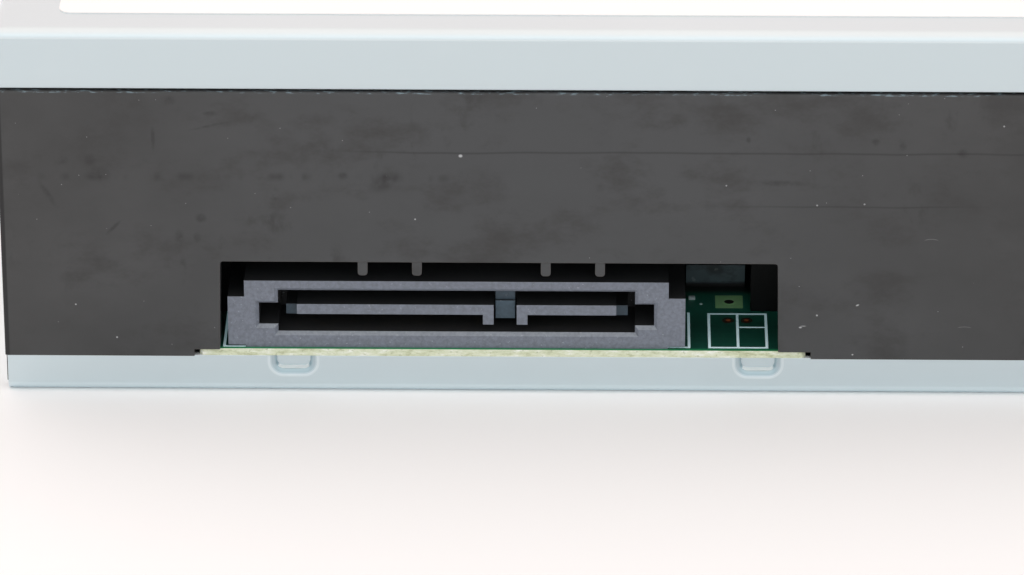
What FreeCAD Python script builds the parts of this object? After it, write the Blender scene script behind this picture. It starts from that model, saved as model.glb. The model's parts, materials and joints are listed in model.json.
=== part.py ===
import FreeCAD, Part
import math
import os

# A half-height disc drive that loads with a tray and plugs in by a serial data socket at the rear.
# Millimetres. The bezel faces -Y, the socket faces +Y, Z is up and Z = 0 is the underside.

V = FreeCAD.Vector

# Overall size
BODY_WIDTH = 146.0
BODY_HEIGHT = 41.3
BODY_DEPTH = 165.0
BEZEL_DEPTH = 5.0
BEZEL_SIDE = 1.1        # how far the bezel stands past each side of the case
BEZEL_OVER = 0.7        # and past its top
SHEET = 0.6             # steel of the covers
BEND = 1.15             # outer radius where that steel is folded
SLIT = 0.3              # relief cut beside a fold
FIT = 0.1               # gap between a cover and what it holds
RUN = 0.05              # radial play of a turning or sliding fit
PASS = 0.3              # gap between pieces that go past each other

# Threaded mounting holes of the standard drive bay
MOUNT_BACK = 47.4       # from the back of the bezel to the first hole
MOUNT_LONG = 79.25
MOUNT_HIGH = 11.84
MOUNT_LOW_Z = 10.0
MOUNT_WIDE = 139.7
MOUNT_R = 1.25
MOUNT_FREE_R = 1.9      # room for the screw inside

# Rear face
COVER_FLANGE = 6.45
COVER_GAP = 0.25
BASE_FLANGE = 4.3
FLOOR_PRESS = 0.5       # the middle of the floor is pressed up by this
PANEL = 2.4
PANEL_PROUD = 0.35      # the plastic wall stands out past the steel
LIP = 2.0               # thickness of the wall where it reaches past the sides of the cover
FLANGE_IN = 0.2         # the floor's flange stops this far inside the lip's ends
WINDOW_MID = 21.25
WINDOW_WIDE = 58.0
WINDOW_FLARE = 0.2      # the window widens towards the board by this much a side
WINDOW_TOP = 15.35
FINGER_MID = 23.07
FINGER_PITCHES = (6.7, 12.35)   # the four fingers, either side of their middle
FINGER_WIDE = 1.02
FINGER_LONG = 1.58
LABEL_BACK = 4.4        # from the rear edge of the top to the label
PAPER = 0.1
DENT_XS = (42.8, -5.85)
DENT_WIDE = 3.5
DENT_HIGH = 1.5
DENT_DEEP = 0.8
DENT_SOFT = 1.1         # how far the soft rim of a dent spreads
DENT_GENTLE = 0.45      # share of a dent's depth that falls gently, before its crisp inner corner
DENT_CRISP = 16         # power of the fall at that corner
DENT_CORNER = 0.7
DENT_BACKING = 0.3      # how much wider the steel behind a dent is

# Serial socket
SOCKET_X = 25.7
SOCKET_WIDE = 47.8
SOCKET_TALL = 7.7
SOCKET_SHOULDER = 44.3  # width of the part above the shoulders
SHOULDER_TALL = 5.85
SOCKET_DEEP = 8.4
SOCKET_BACK = 0.37      # set back from the edge of the board
CAVITY_WIDE = 37.3
CAVITY_LOW = 1.74
CAVITY_TALL = 4.74
CAVITY_DEEP = 6.5
SLOT_WIDE = 41.3
SLOT_LOW = 2.56
SLOT_TALL = 2.45
TONGUE_LOW = 3.62
TONGUE = 1.15
TONGUE_POWER = 20.57
TONGUE_DATA = 10.41
TONGUE_GAP = 2.41
TONGUE_SHORT = 0.5      # the tongues stop this far inside the mouth
KEY = 1.13
KEY_LONG = 1.13
WEB_BACK = 1.6          # the bar between the tongues is set back this far from the mouth
WEB_LOW = 0.9           # it hangs this far below them
WEB_SLACK = 0.18        # and stands clear of them by this much
PILLAR_BACK = 1.9       # the pillar that ties the bar to the roof
END_BACK = 2.0          # the blocks at the outer ends of the tongues
END_WIDE = 1.2
END_DROP = 0.69         # their tops lie this far below the tongues' tops
PIN_PITCH = 1.27
PIN_WIDE = 0.84
PIN_THICK = 0.12
PINS_POWER = 15
PINS_DATA = 7

# Boards
BOARD = 0.8
BOARD_X0 = -50.0
BOARD_X1 = 60.0
BOARD_TAB_X0 = -10.8
BOARD_TAB_X1 = 52.6
BOARD_NOTCH = 0.55
BOARD_LONG = 64.5
FRONT_BOARD_X0 = 12.0
FRONT_BOARD_X1 = 60.5
FRONT_BOARD_Z = 5.0
FRONT_BOARD_LONG = 21.0
SCREW_REACH = 3.8       # how far the board screws go into their bosses
BOARD_SCREW_R = 1.1

# Screws that hold the floor
COVER_SCREW_X = 65.0
COVER_SCREW_AHEAD = 10.0    # from the front of the case
COVER_SCREW_PAST = 9.0      # and from its rear
COVER_SCREW_R = 1.25
COVER_SEAT = 1.0            # depth of the seats for their heads

# Chassis
WALL = 2.7
WALL_TOP = 34.0
LEDGE = 2.0
LEDGE_IN = 62.5
DECK_Z = 9.5
DECK = 2.0
DECK_X1 = 25.0
DECK_LONG = 36.0

# Tray
TRAY_HALF = 64.0
TRAY_LOW = 24.5
TRAY_TALL = 4.5
TRAY_SKIN = 1.8
TRAY_PAST = 88.0        # from the middle of the disc to the back of the tray
TRAY_TRAVEL = 138.0
DISC_BACK = 70.0        # from the back of the bezel to the middle of the disc
DISC_R = 60.6
DISC_FLOOR = 1.8
SMALL_DISC_R = 40.6
SMALL_DISC_FLOOR = 1.0
HUB_HOLE_R = 19.0
PICKUP_SLOT = 20.0
PICKUP_SLOT_LONG = 70.0
DOOR_HALF = 65.5
DOOR_LOW = 19.7
DOOR_TALL = 16.1
DOOR_GAP = 0.45
DOOR = 2.8

# Loading gears
RACK_X = -55.0          # pitch line of the rack
RACK_MODULE = 1.0
RACK_TALL = 4.6
PINION_TEETH = 18
GEAR_MODULE = 0.6
GEAR_TEETH = 36
SMALL_TEETH = 18
GEAR_BACK = 14.0        # from the back of the bezel to the shafts
PULLEY_R = 9.0
MOTOR_PULLEY_R = 2.5
PULLEY_LIP = 1.2        # height of the rims beside the belt
BELT = 1.2              # side of the square belt
MOTOR_X = -3.0
MOTOR_R = 10.0
MOTOR_TOP = 13.0
SHAFT_R = 1.5
BACKLASH = 0.16
PULLEY_Z = 14.4
PULLEY_TALL = 2.5
GEAR_Z = 17.1
GEAR_TALL = 2.2

# Lifting frame, drawn level as it stands with a disc clamped
PIVOT_PAST = 79.5       # from the middle of the disc to the pivot pins
PIVOT_Z = 11.25
PIVOT_R = 2.0
LIFT_DEG = 4.2
LIFT_HALF = 52.0
LIFT_AHEAD = 26.0       # from the middle of the disc to the front of the frame
LIFT_LOW = 9.5
LIFT_TALL = 3.5
LIFT_BAR = 10.0
LIFT_PIN_X = 14.0
LIFT_PIN_Z = 16.5
LIFT_PIN_R = 1.5
CAM_TRAVEL = 16.0
CAM_THICK = 2.5
CAM_TRACK = 4.0         # floor that the slider runs on
PLATE = 1.0             # deck of the pickup
PLATE_Z = 14.2
DAMPER_R = 3.5
DAMPER_NECK_R = 2.4     # where the damper goes through the deck
DAMPER_HEAD = 1.2
DAMPER_X = 46.0
DAMPER_AHEAD = 18.0
DAMPER_PAST = 67.0

# Spindle and pickup
ROTOR_R = 13.5
TABLE_R = 14.8
TABLE_Z = 28.6          # where the disc lies when clamped
HUB_R = 7.45
RAIL_R = 1.5
RAIL_X = 22.0
RAIL_Z = 18.2
RAIL_AHEAD = 6.0        # from the middle of the disc to the front rail holders
RAIL_PAST = 75.0        # and to the back of the rear ones
RAIL_HOLD = 4.0
SCREW_X = 33.0
SCREW_R = 1.5
SCREW_TIP_R = 0.8
BRACKET = 0.8           # sheet of the feed bracket
FEED_NEAR = 2.0         # from the front rail holders to the bracket
FEED_MOTOR_R = 4.9
FEED_MOTOR_LONG = 8.8
SHOE_AHEAD = 1.6        # from the front of the sled to the shoe on the screw
SHOE_LONG = 8.0
FEED_STOP = 0.8         # left between the shoe and the motor's bracket
SLED_PAST = 16.0        # from the middle of the disc to the front of the sled
SLED_LONG = 20.0
SLED_HALF = 18.0
SLED_TRAVEL = 34.0
LENS_Y = 8.0            # from the front of the sled

# Disc clamp
BRIDGE = 0.8
BRIDGE_LONG = 40.0
BRIDGE_SCREW_R = 0.8
CLAMP_R = 12.5
CLAMP_FLANGE_R = 15.5

# Eject button
BUTTON_X = 53.5
BUTTON_Z = 8.6
BUTTON_WIDE = 13.0
BUTTON_TALL = 4.6
BUTTON_TRAVEL = 0.5
LAMP_X = 41.5
LAMP_UP = 1.5           # the lamp's middle above its board
SWITCH_BACK = 2.2       # from the back of the bezel to the switch
BEZEL_WALL = 2.2
HOOK_Z0 = 12.5          # the hooks that hold the bezel
HOOK_Z1 = 17.5
HOOK_Y0 = 4.4           # from the back of the bezel to a hook's nose
HOOK_Y1 = 6.8

# Places that follow from the sizes above
HALF = BODY_WIDTH / 2
BEZEL_HALF = HALF + BEZEL_SIDE
BEZEL_HEIGHT = BODY_HEIGHT + BEZEL_OVER
REAR = (BODY_DEPTH + BEZEL_DEPTH) / 2
FRONT = REAR - BODY_DEPTH
FACE = FRONT - BEZEL_DEPTH
STEEL_REAR = REAR - PANEL_PROUD
COVER_EDGE = BODY_HEIGHT - COVER_FLANGE
CHASSIS_HALF = HALF - SHEET - FIT
WALL_IN = CHASSIS_HALF - WALL
PANEL_IN = REAR - PANEL
PANEL_TOP = COVER_EDGE - COVER_GAP
LIP_Y = REAR - LIP
SIDE_END = LIP_Y - PASS    # where the cover's sides stop
BOARD_Z = BASE_FLANGE
WALL_LOW = BASE_FLANGE + PASS
BOARD_TOP = BOARD_Z + BOARD
FRONT_BOARD_TOP = FRONT_BOARD_Z + BOARD
SWITCH_Y = FRONT + SWITCH_BACK
BOARD_Y1 = PANEL_IN - PASS
SOCKET_Y = STEEL_REAR - SOCKET_BACK
DISC_Y = FRONT + DISC_BACK
TRAY_BACK = DISC_Y + TRAY_PAST
TRAY_FRONT = FACE + DOOR
PICKUP_SLOT_END = DISC_Y + PICKUP_SLOT_LONG
PIVOT_Y = DISC_Y + PIVOT_PAST
LIFT_Y0 = DISC_Y - LIFT_AHEAD
LIFT_Y1 = PIVOT_Y + 3.5
SIDES = (-1, 1)
DAMPER_YS = (DISC_Y - DAMPER_AHEAD, DISC_Y + DAMPER_PAST)
DAMPER_SPOTS = [(side * DAMPER_X, y) for side in SIDES for y in DAMPER_YS]
RAIL_Y0 = DISC_Y + RAIL_AHEAD
RAIL_Y1 = DISC_Y + RAIL_PAST
SLED_Y = DISC_Y + SLED_PAST
SHOE_Y = SLED_Y + SHOE_AHEAD
FEED_WALL_Y = SHOE_Y + SHOE_LONG + SLED_TRAVEL + FEED_STOP
TRAY_TOP = TRAY_LOW + TRAY_TALL
GEAR_Y = FRONT + GEAR_BACK
PINION_R = RACK_MODULE * PINION_TEETH / 2
GEAR_X = RACK_X + PINION_R
PULLEY_X = GEAR_X + GEAR_MODULE * (GEAR_TEETH + SMALL_TEETH) / 2
RACK_LOW = TRAY_LOW - RACK_TALL
DECK_TOP = DECK_Z + DECK
CAM_Y1 = LIFT_Y0 - 5.0
CAM_Y0 = CAM_Y1 - CAM_THICK
LIFT_TOP = LIFT_LOW + LIFT_TALL
PLATE_TOP = PLATE_Z + PLATE
PIN_DROP = (PIVOT_Y - (CAM_Y0 + CAM_Y1) / 2) * math.sin(math.radians(LIFT_DEG))
MOUNT_YS = (FRONT + MOUNT_BACK, FRONT + MOUNT_BACK + MOUNT_LONG)
MOUNT_ZS = (MOUNT_LOW_Z, MOUNT_LOW_Z + MOUNT_HIGH)
CABLE_Y = BOARD_Y1 - BOARD_LONG + 4.2    # where the flat cable enters its socket on the main board
COVER_SCREW_YS = (FRONT + COVER_SCREW_AHEAD, REAR - COVER_SCREW_PAST)
COVER_SCREWS = [(side * COVER_SCREW_X, y) for side in SIDES for y in COVER_SCREW_YS]
BOARD_SCREWS = ((-44.0, BOARD_Y1 - 3.7), (57.0, BOARD_Y1 - 48.3))
FRONT_BOARD_SCREWS = ((18.0, FRONT + 18.0), (58.0, FRONT + 18.0))
BRIDGE_SCREW_X = CHASSIS_HALF - WALL / 2
BRIDGE_SCREWS = [(side * BRIDGE_SCREW_X, DISC_Y + y) for side in SIDES for y in (-15.0, 15.0)]


def box(x0, x1, y0, y1, z0, z1):
    return Part.makeBox(x1 - x0, y1 - y0, z1 - z0, V(x0, y0, z0))


def sided(side, x0, x1, y0, y1, z0, z1):
    """A block between two distances from the middle, on the left or the right."""
    a, b = sorted((side * x0, side * x1))
    return box(a, b, y0, y1, z0, z1)


def post(x, y, z0, z1, r):
    return Part.makeCylinder(r, z1 - z0, V(x, y, z0))


def rod_x(y, z, x0, x1, r):
    a, b = sorted((x0, x1))
    return Part.makeCylinder(r, b - a, V(a, y, z), V(1, 0, 0))


def rod_y(x, z, y0, y1, r):
    return Part.makeCylinder(r, y1 - y0, V(x, y0, z), V(0, 1, 0))


def join(*shapes):
    return shapes[0].multiFuse(list(shapes[1:])).removeSplitter()


def carve(body, *tools):
    return body.cut(list(tools)).removeSplitter()


def group(*shapes):
    return Part.makeCompound(list(shapes))


def soften(body, radius, pick):
    """Round the edges whose middle the given test picks."""
    return body.makeFillet(radius, [e for e in body.Edges if pick(e.CenterOfMass)])


def rounded(x0, x1, y0, y1, r, z):
    """Outline of a rectangle with round corners, level at height z."""
    line, edges, last = [], [], None
    corners = ((x1 - r, y0 + r, -90), (x1 - r, y1 - r, 0), (x0 + r, y1 - r, 90), (x0 + r, y0 + r, 180))
    for cx, cy, turn in corners:
        arc = [V(cx + r * math.cos(math.radians(turn + a)), cy + r * math.sin(math.radians(turn + a)), z)
               for a in (0, 45, 90)]
        line.append(arc)
    for arc in line:
        if last is not None:
            edges.append(Part.makeLine(last, arc[0]))
        edges.append(Part.Arc(*arc).toShape())
        last = arc[2]
    edges.append(Part.makeLine(last, line[0][0]))
    return Part.Wire(edges)


def slab(x0, x1, y0, y1, z0, z1, r):
    return Part.Face(rounded(x0, x1, y0, y1, r, z0)).extrude(V(0, 0, z1 - z0))


def sloped(x0, x1, y0, y1, r, z0, z1, slope):
    """A slab whose sides lean in by slope from z0 to z1."""
    far = rounded(x0 + slope, x1 - slope, y0 + slope, y1 - slope, max(r - slope, 0.3), z1)
    return Part.makeLoft([rounded(x0, x1, y0, y1, r, z0), far], True, True)


def press(sheet, x0, x1, y0, y1, r, face, depth):
    """Press a shallow pan into a level sheet. Depth is signed and goes away from the outer face."""
    inner = face + math.copysign(SHEET, depth)
    slope = abs(depth)
    pan = sloped(x0, x1, y0, y1, r, face, face + depth, slope)
    back = sloped(x0, x1, y0, y1, r, inner, inner + depth, slope)
    return carve(join(sheet, back), pan)


def dimple(sheet, x, y, r, depth):
    """Press a round seat for a screw head up into the floor."""
    pan = Part.makeCone(r, r - depth, depth, V(x, y, 0))
    back = Part.makeCone(r, r - depth, depth, V(x, y, SHEET))
    return carve(join(sheet, back), pan)


def screw(x, y, face, head_r, head_tall, shank_r, reach, up):
    """A pan-head screw whose head lies on a level face; up is the way its shank points."""
    head = post(x, y, min(face, face - up * head_tall), max(face, face - up * head_tall), head_r)
    shank = post(x, y, min(face, face + up * reach), max(face, face + up * reach), shank_r)
    return join(head, shank)


def gear(module, teeth, turn, x, y, z0, z1):
    """Spur gear with involute flanks. Turn is the direction of one tooth, in radians."""
    pitch_r = module * teeth / 2
    base_r = pitch_r * math.cos(math.radians(20))
    tip_r = pitch_r + 0.95 * module
    root_r = pitch_r - 1.2 * module
    half = math.pi / 2 / teeth - BACKLASH / 2 / pitch_r

    def spread(r):
        angle = math.acos(min(1.0, base_r / r))
        at_pitch = math.radians(20)
        return half + math.tan(at_pitch) - at_pitch - math.tan(angle) + angle

    def at(r, a):
        return V(x + r * math.cos(a), y + r * math.sin(a), z0)

    low_r = max(base_r, root_r)
    mid_r = (low_r + tip_r) / 2
    edges = []
    for k in range(teeth):
        a = turn + 2 * math.pi * k / teeth
        step = 2 * math.pi / teeth
        rise = [at(low_r, a - spread(low_r)), at(mid_r, a - spread(mid_r)), at(tip_r, a - spread(tip_r))]
        fall = [at(tip_r, a + spread(tip_r)), at(mid_r, a + spread(mid_r)), at(low_r, a + spread(low_r))]
        foot_in = at(root_r, a - spread(low_r))
        foot_out = at(root_r, a + spread(low_r))
        foot_next = at(root_r, a + step - spread(low_r))
        if root_r < low_r:
            edges.append(Part.makeLine(foot_in, rise[0]))
        edges.append(Part.Arc(*rise).toShape())
        edges.append(Part.makeLine(rise[2], fall[0]))
        edges.append(Part.Arc(*fall).toShape())
        if root_r < low_r:
            edges.append(Part.makeLine(fall[2], foot_out))
        edges.append(Part.makeLine(foot_out, foot_next))
    return Part.Face(Part.Wire(edges)).extrude(V(0, 0, z1 - z0))


def lowered(shape):
    """Swing a piece of the lifting frame down to where it waits while the tray moves."""
    shape.rotate(V(0, PIVOT_Y, PIVOT_Z), V(1, 0, 0), LIFT_DEG)
    return shape


def dent(x, shift, grow=0.0):
    """Bulge of the base flange with a soft rim and a crisp floor, open at its upper edge.

    It is moved inwards by shift and widened by grow.
    """
    sections = []
    steps = 8
    for k in range(steps + 1):
        t = k / steps
        y = STEEL_REAR - shift - DENT_DEEP * (DENT_GENTLE * t ** 2 + (1 - DENT_GENTLE) * t ** DENT_CRISP)
        spread = DENT_SOFT * (1 - t) + grow
        half = DENT_WIDE / 2 + spread
        low = BASE_FLANGE - DENT_HIGH - spread
        r = DENT_CORNER + spread
        top = BASE_FLANGE + 1
        bow = r * (1 - math.sqrt(0.5))
        p = [V(x - half, y, top), V(x - half, y, low + r), V(x - half + r, y, low),
             V(x + half - r, y, low), V(x + half, y, low + r), V(x + half, y, top)]
        left = Part.Arc(p[1], V(x - half + bow, y, low + bow), p[2]).toShape()
        right = Part.Arc(p[3], V(x + half - bow, y, low + bow), p[4]).toShape()
        edges = [Part.makeLine(p[0], p[1]), left, Part.makeLine(p[2], p[3]), right,
                 Part.makeLine(p[4], p[5]), Part.makeLine(p[5], p[0])]
        sections.append(Part.Wire(edges))
    return Part.makeLoft(sections, True, True)


def top_cover():
    """Folded steel: the top, both sides down to the floor, and a short flange at the rear."""
    outer = box(-HALF, HALF, FRONT, STEEL_REAR, 0, BODY_HEIGHT)
    outer = soften(outer, BEND, lambda c: c.z > BODY_HEIGHT - 0.01 and c.y > FRONT + 1)
    inner = box(-HALF + SHEET, HALF - SHEET, FRONT - 1, STEEL_REAR - SHEET, -1, BODY_HEIGHT - SHEET)
    inner = soften(inner, BEND - SHEET, lambda c: c.z > BODY_HEIGHT - SHEET - 0.01 and c.y > FRONT)
    below = box(-HALF - 1, HALF + 1, SIDE_END, STEEL_REAR + 1, -1, COVER_EDGE)
    tools = [inner, below]
    for side in SIDES:
        tools.append(sided(side, HALF - SHEET, HALF + 1, SIDE_END, STEEL_REAR - SHEET,
                           COVER_EDGE - 1, BODY_HEIGHT - BEND - SLIT))
        for y in MOUNT_YS:
            for z in MOUNT_ZS:
                tools.append(rod_x(y, z, side * (HALF + 1), side * (HALF - 2 * SHEET), MOUNT_R))
        for y in (FRONT + 22, FRONT + 92, REAR - 24):
            tools.append(sided(side, HALF - 2 * SHEET, HALF + 1, y - 3.5, y + 3.5, 1.6, 3.2))
        tools.append(sided(side, HALF - 2 * SHEET, HALF + 1, FRONT + HOOK_Y0 - PASS, FRONT + HOOK_Y1 + PASS,
                           HOOK_Z0 - PASS, HOOK_Z1 + PASS))
    cover = carve(outer, *tools)
    for y0, y1 in ((FRONT + 12, FRONT + 22), (FRONT + 28, FRONT + 60)):
        cover = press(cover, -54.0, 54.0, y0, y1, 4.0, BODY_HEIGHT, -0.5)
    return cover


def label():
    """Bare paper label that covers the rear part of the top."""
    z = BODY_HEIGHT
    return slab(-66.6, 66.6, FRONT + 66, STEEL_REAR - LABEL_BACK, z, z + PAPER, 1.3)


def bottom_cover():
    """Pressed steel floor with low lips, nested between the sides of the top cover."""
    half = HALF - SHEET - FIT
    outer = box(-half, half, FRONT, STEEL_REAR, 0, BASE_FLANGE)
    outer = soften(outer, BEND, lambda c: c.z < 0.01 and c.y > FRONT + 1)
    inner = box(-half + SHEET, half - SHEET, FRONT - 1, STEEL_REAR - SHEET, SHEET, BASE_FLANGE + 1)
    inner = soften(inner, BEND - SHEET, lambda c: c.z < SHEET + 0.01 and c.y > FRONT)
    floor = carve(outer, inner)
    wide = HALF - FLANGE_IN
    strip = box(-wide, wide, SIDE_END, STEEL_REAR, 0, BASE_FLANGE)
    strip = soften(strip, BEND, lambda c: c.z < 0.01 and c.y > STEEL_REAR - 0.01)
    above = box(-HALF, HALF, SIDE_END - 1, STEEL_REAR - SHEET, SHEET, BASE_FLANGE + 1)
    above = soften(above, BEND - SHEET, lambda c: c.z < SHEET + 0.01 and c.y > STEEL_REAR - SHEET - 0.01)
    ends = box(-HALF, HALF, SIDE_END, STEEL_REAR, SHEET, BASE_FLANGE + 1)
    floor = join(carve(floor, ends), carve(strip, above))
    for x in DENT_XS:
        bulge = dent(x, SHEET, DENT_BACKING)
        above = box(x - 5, x + 5, STEEL_REAR - 5, STEEL_REAR, BASE_FLANGE, BASE_FLANGE + 2)
        floor = carve(join(floor, carve(bulge, above)), dent(x, 0), dent(x, -0.2))
    floor = press(floor, -56, 56, FRONT + 18, REAR - 22, 8.0, 0, FLOOR_PRESS)
    for x, y in COVER_SCREWS:
        floor = dimple(floor, x, y, 4.2, COVER_SEAT)
    tools = [post(x, y, -1, 3, 1.5) for x, y in COVER_SCREWS]
    for side in SIDES:
        for y in MOUNT_YS:
            tools.append(post(side * MOUNT_WIDE / 2, y, -1, 2, MOUNT_R))
    return carve(floor, *tools)


def cover_screws():
    return group(*[screw(x, y, COVER_SEAT, 2.4, 0.9, COVER_SCREW_R, 7.0, 1) for x, y in COVER_SCREWS])


def rear_wall():
    """The plastic wall seen from behind, with the window that the socket looks through."""
    edge = STEEL_REAR - SHEET - FIT
    inset = CHASSIS_HALF - 1
    low_edge = BASE_FLANGE + RUN
    wall = box(-HALF, HALF, LIP_Y, REAR, low_edge, PANEL_TOP)
    wall = soften(wall, 0.25, lambda c: c.y > REAR - 0.01 and c.z > low_edge + 0.01)
    back = box(-CHASSIS_HALF, CHASSIS_HALF, PANEL_IN, LIP_Y, low_edge, PANEL_TOP)
    feet = [sided(side, HALF - 1.2, HALF, SIDE_END + FIT, STEEL_REAR - BEND, SHEET + FIT, low_edge + 1)
            for side in SIDES]
    upper = box(-inset, inset, PANEL_IN, edge, PANEL_TOP, BODY_HEIGHT - SHEET - 1)
    lower = box(-inset, inset, PANEL_IN, edge, BEND + SHEET, low_edge)
    x0 = WINDOW_MID - WINDOW_WIDE / 2
    x1 = WINDOW_MID + WINDOW_WIDE / 2
    low = BOARD_TOP - 0.5
    points = [V(x0, PANEL_IN - 1, WINDOW_TOP), V(x1, PANEL_IN - 1, WINDOW_TOP),
              V(x1 + WINDOW_FLARE, PANEL_IN - 1, low), V(x0 - WINDOW_FLARE, PANEL_IN - 1, low)]
    window = Part.Face(Part.makePolygon(points + points[:1])).extrude(V(0, PANEL + 2, 0))
    window = soften(window, 0.35, lambda c: abs(c.y - REAR + PANEL / 2) < 0.1 and c.z > WINDOW_TOP - 0.1)
    slot = box(BOARD_TAB_X0 - BOARD_NOTCH, BOARD_TAB_X1 + BOARD_NOTCH, PANEL_IN - 1, REAR + 1, 0,
               BOARD_TOP + 0.04)
    fingers = []
    for pitch in FINGER_PITCHES:
        for side in SIDES:
            x = FINGER_MID + side * pitch
            tip = WINDOW_TOP - FINGER_LONG
            half = FINGER_WIDE / 2
            finger = box(x - half, x + half, REAR - 1.2, REAR - 0.1, tip, WINDOW_TOP + 1)
            fingers.append(soften(finger, 0.35, lambda c: c.z < tip + 0.01 and abs(c.x - x) > 0.1))
    return join(carve(join(wall, back, upper, lower), window, slot), *feet, *fingers)


def side_wall(side):
    """One long side of the chassis with the ledge, fence and hold-downs that guide the tray."""
    ledge_top = TRAY_LOW - PASS
    fence = TRAY_HALF + PASS
    pieces = [
        sided(side, WALL_IN, CHASSIS_HALF, FRONT, PANEL_IN, WALL_LOW, WALL_TOP),
        sided(side, LEDGE_IN, WALL_IN, FRONT + 0.5, TRAY_BACK, ledge_top - LEDGE, ledge_top),
        sided(side, fence, fence + 1.6, FRONT + 0.5, TRAY_BACK, ledge_top, TRAY_TOP - 1),
    ]
    for y in (FRONT + 8, FRONT + 78, FRONT + 140):
        pieces.append(sided(side, LEDGE_IN, WALL_IN, y, y + 7, TRAY_TOP + PASS, TRAY_TOP + PASS + 1.6))
    for k in range(8):
        y = FRONT + 12 + 19 * k
        pieces.append(sided(side, WALL_IN - 2.5, WALL_IN, y, y + 1.2, WALL_LOW, ledge_top - LEDGE))
    pieces.append(sided(side, LIFT_HALF + 1.5, WALL_IN, PIVOT_Y - 4.5, PIVOT_Y + 4.5, 7.5, 15.0))
    for y in COVER_SCREW_YS:
        pieces.append(post(side * COVER_SCREW_X, y, SHEET + COVER_SEAT, 9.0, 3.0))
        pieces.append(sided(side, COVER_SCREW_X, WALL_IN, y - 1.2, y + 1.2, WALL_LOW, 9.0))
    return pieces


def front_deck():
    """The shelf behind the bezel that carries the loading motor and its gears."""
    y1 = FRONT + DECK_LONG
    pieces = [
        box(-WALL_IN, DECK_X1, FRONT + 0.5, y1, DECK_Z, DECK_TOP),
        box(-WALL_IN, DECK_X1, y1 - 1.5, y1, DECK_TOP, DECK_TOP + 2.5),
        box(-WALL_IN, WALL_IN, CAM_Y0 - 1.5, CAM_Y1 + 1.5, 1.3, CAM_TRACK),
        box(-40, 40, CAM_Y1 + PASS, CAM_Y1 + 1.5, CAM_TRACK, CAM_TRACK + 1.5),
        post(MOTOR_X, GEAR_Y, 6.0, MOTOR_TOP + 1.0, MOTOR_R + 1.8),
        post(GEAR_X, GEAR_Y, DECK_TOP, GEAR_Z - PASS / 3, 3.2),
        post(GEAR_X, GEAR_Y, DECK_TOP, TRAY_LOW - 1.0, SHAFT_R),
        post(PULLEY_X, GEAR_Y, DECK_TOP, PULLEY_Z - PASS / 3, 3.2),
        post(PULLEY_X, GEAR_Y, DECK_TOP, GEAR_Z + GEAR_TALL + 0.5, SHAFT_R),
    ]
    for side in SIDES:
        pieces.append(sided(side, 59.5, WALL_IN, CAM_Y0 - 1.5, CAM_Y1 + 1.5, CAM_TRACK, DECK_TOP))
    (x0, y0), (x1, y1) = FRONT_BOARD_SCREWS
    top = FRONT_BOARD_TOP
    pieces.append(post(x0, y0, top, DECK_Z, 2.6))
    pieces.append(post(x1, y1, top, DECK_TOP, 2.4))
    pieces.append(box(x1, WALL_IN, y1 - 1.5, y1 + 1.5, top + 1, DECK_TOP))
    return pieces


def board_holders():
    """Ribs and bosses that press on the main board from above."""
    pieces = [
        box(-16.0, -5.2, PANEL_IN - 8.6, PANEL_IN - 7.4, BOARD_TOP, 17.0),
        box(-16.0, -14.8, PANEL_IN - 7.4, PANEL_IN, BOARD_TOP, 17.0),
        box(49.3, 57.0, PANEL_IN - 8.0, PANEL_IN - 6.8, BOARD_TOP, 17.0),
        box(55.8, 57.0, PANEL_IN - 6.8, PANEL_IN, BOARD_TOP, 17.0),
    ]
    (x0, y0), (x1, y1) = BOARD_SCREWS
    pieces.append(post(x0, y0, BOARD_TOP, 11.0, 2.8))
    pieces.append(box(x0 - 2, x0 + 2, y0, PANEL_IN, 8.0, 11.0))
    pieces.append(post(x1, y1, BOARD_TOP, 10.0, 2.4))
    pieces.append(box(x1, WALL_IN, y1 - 1.5, y1 + 1.5, 6.5, 10.0))
    return pieces


def main_chassis():
    """The moulded frame that everything inside is fixed to."""
    body = join(rear_wall(), *side_wall(-1), *side_wall(1), *front_deck(), *board_holders())
    tools = [
        post(MOTOR_X, GEAR_Y, 0, MOTOR_TOP, MOTOR_R + FIT),
        post(MOTOR_X, GEAR_Y, MOTOR_TOP - 1, MOTOR_TOP + 2, 4.5),
    ]
    r = MOUNT_FREE_R
    for side in SIDES:
        tools.append(rod_x(PIVOT_Y, PIVOT_Z, side * (LIFT_HALF + 1), side * (LIFT_HALF + 7), PIVOT_R + RUN))
        tools.append(sided(side, WALL_IN - 1, CHASSIS_HALF + 1, FRONT + HOOK_Y0 - PASS,
                           FRONT + HOOK_Y1 + PASS, HOOK_Z0 - PASS, HOOK_Z1 + PASS))
        for y in MOUNT_YS:
            x = side * MOUNT_WIDE / 2
            tools.append(box(x - r, x + r, y - r, y + r, 0, WALL_LOW + 3))
            for z in MOUNT_ZS:
                tools.append(sided(side, WALL_IN - 3.4, CHASSIS_HALF + 1, y - r, y + r, z - r, z + r))
    tools += [post(x, y, 0, 8.5, COVER_SCREW_R + RUN) for x, y in COVER_SCREWS]
    for face, spots in ((BOARD_Z, BOARD_SCREWS), (FRONT_BOARD_Z, FRONT_BOARD_SCREWS)):
        tools += [post(x, y, 0, face + SCREW_REACH + FIT, BOARD_SCREW_R + RUN) for x, y in spots]
    tools += [post(x, y, WALL_TOP - 5, WALL_TOP + 1, BRIDGE_SCREW_R + RUN) for x, y in BRIDGE_SCREWS]
    free = LIFT_PIN_R + PASS
    for x in (-LIFT_PIN_X, LIFT_PIN_X):
        tools.append(box(x - free, x + free, CAM_Y1 + RUN, CAM_Y1 + 2, LIFT_PIN_Z - PIN_DROP - free, LIFT_PIN_Z))
    return carve(body, *tools)


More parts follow.
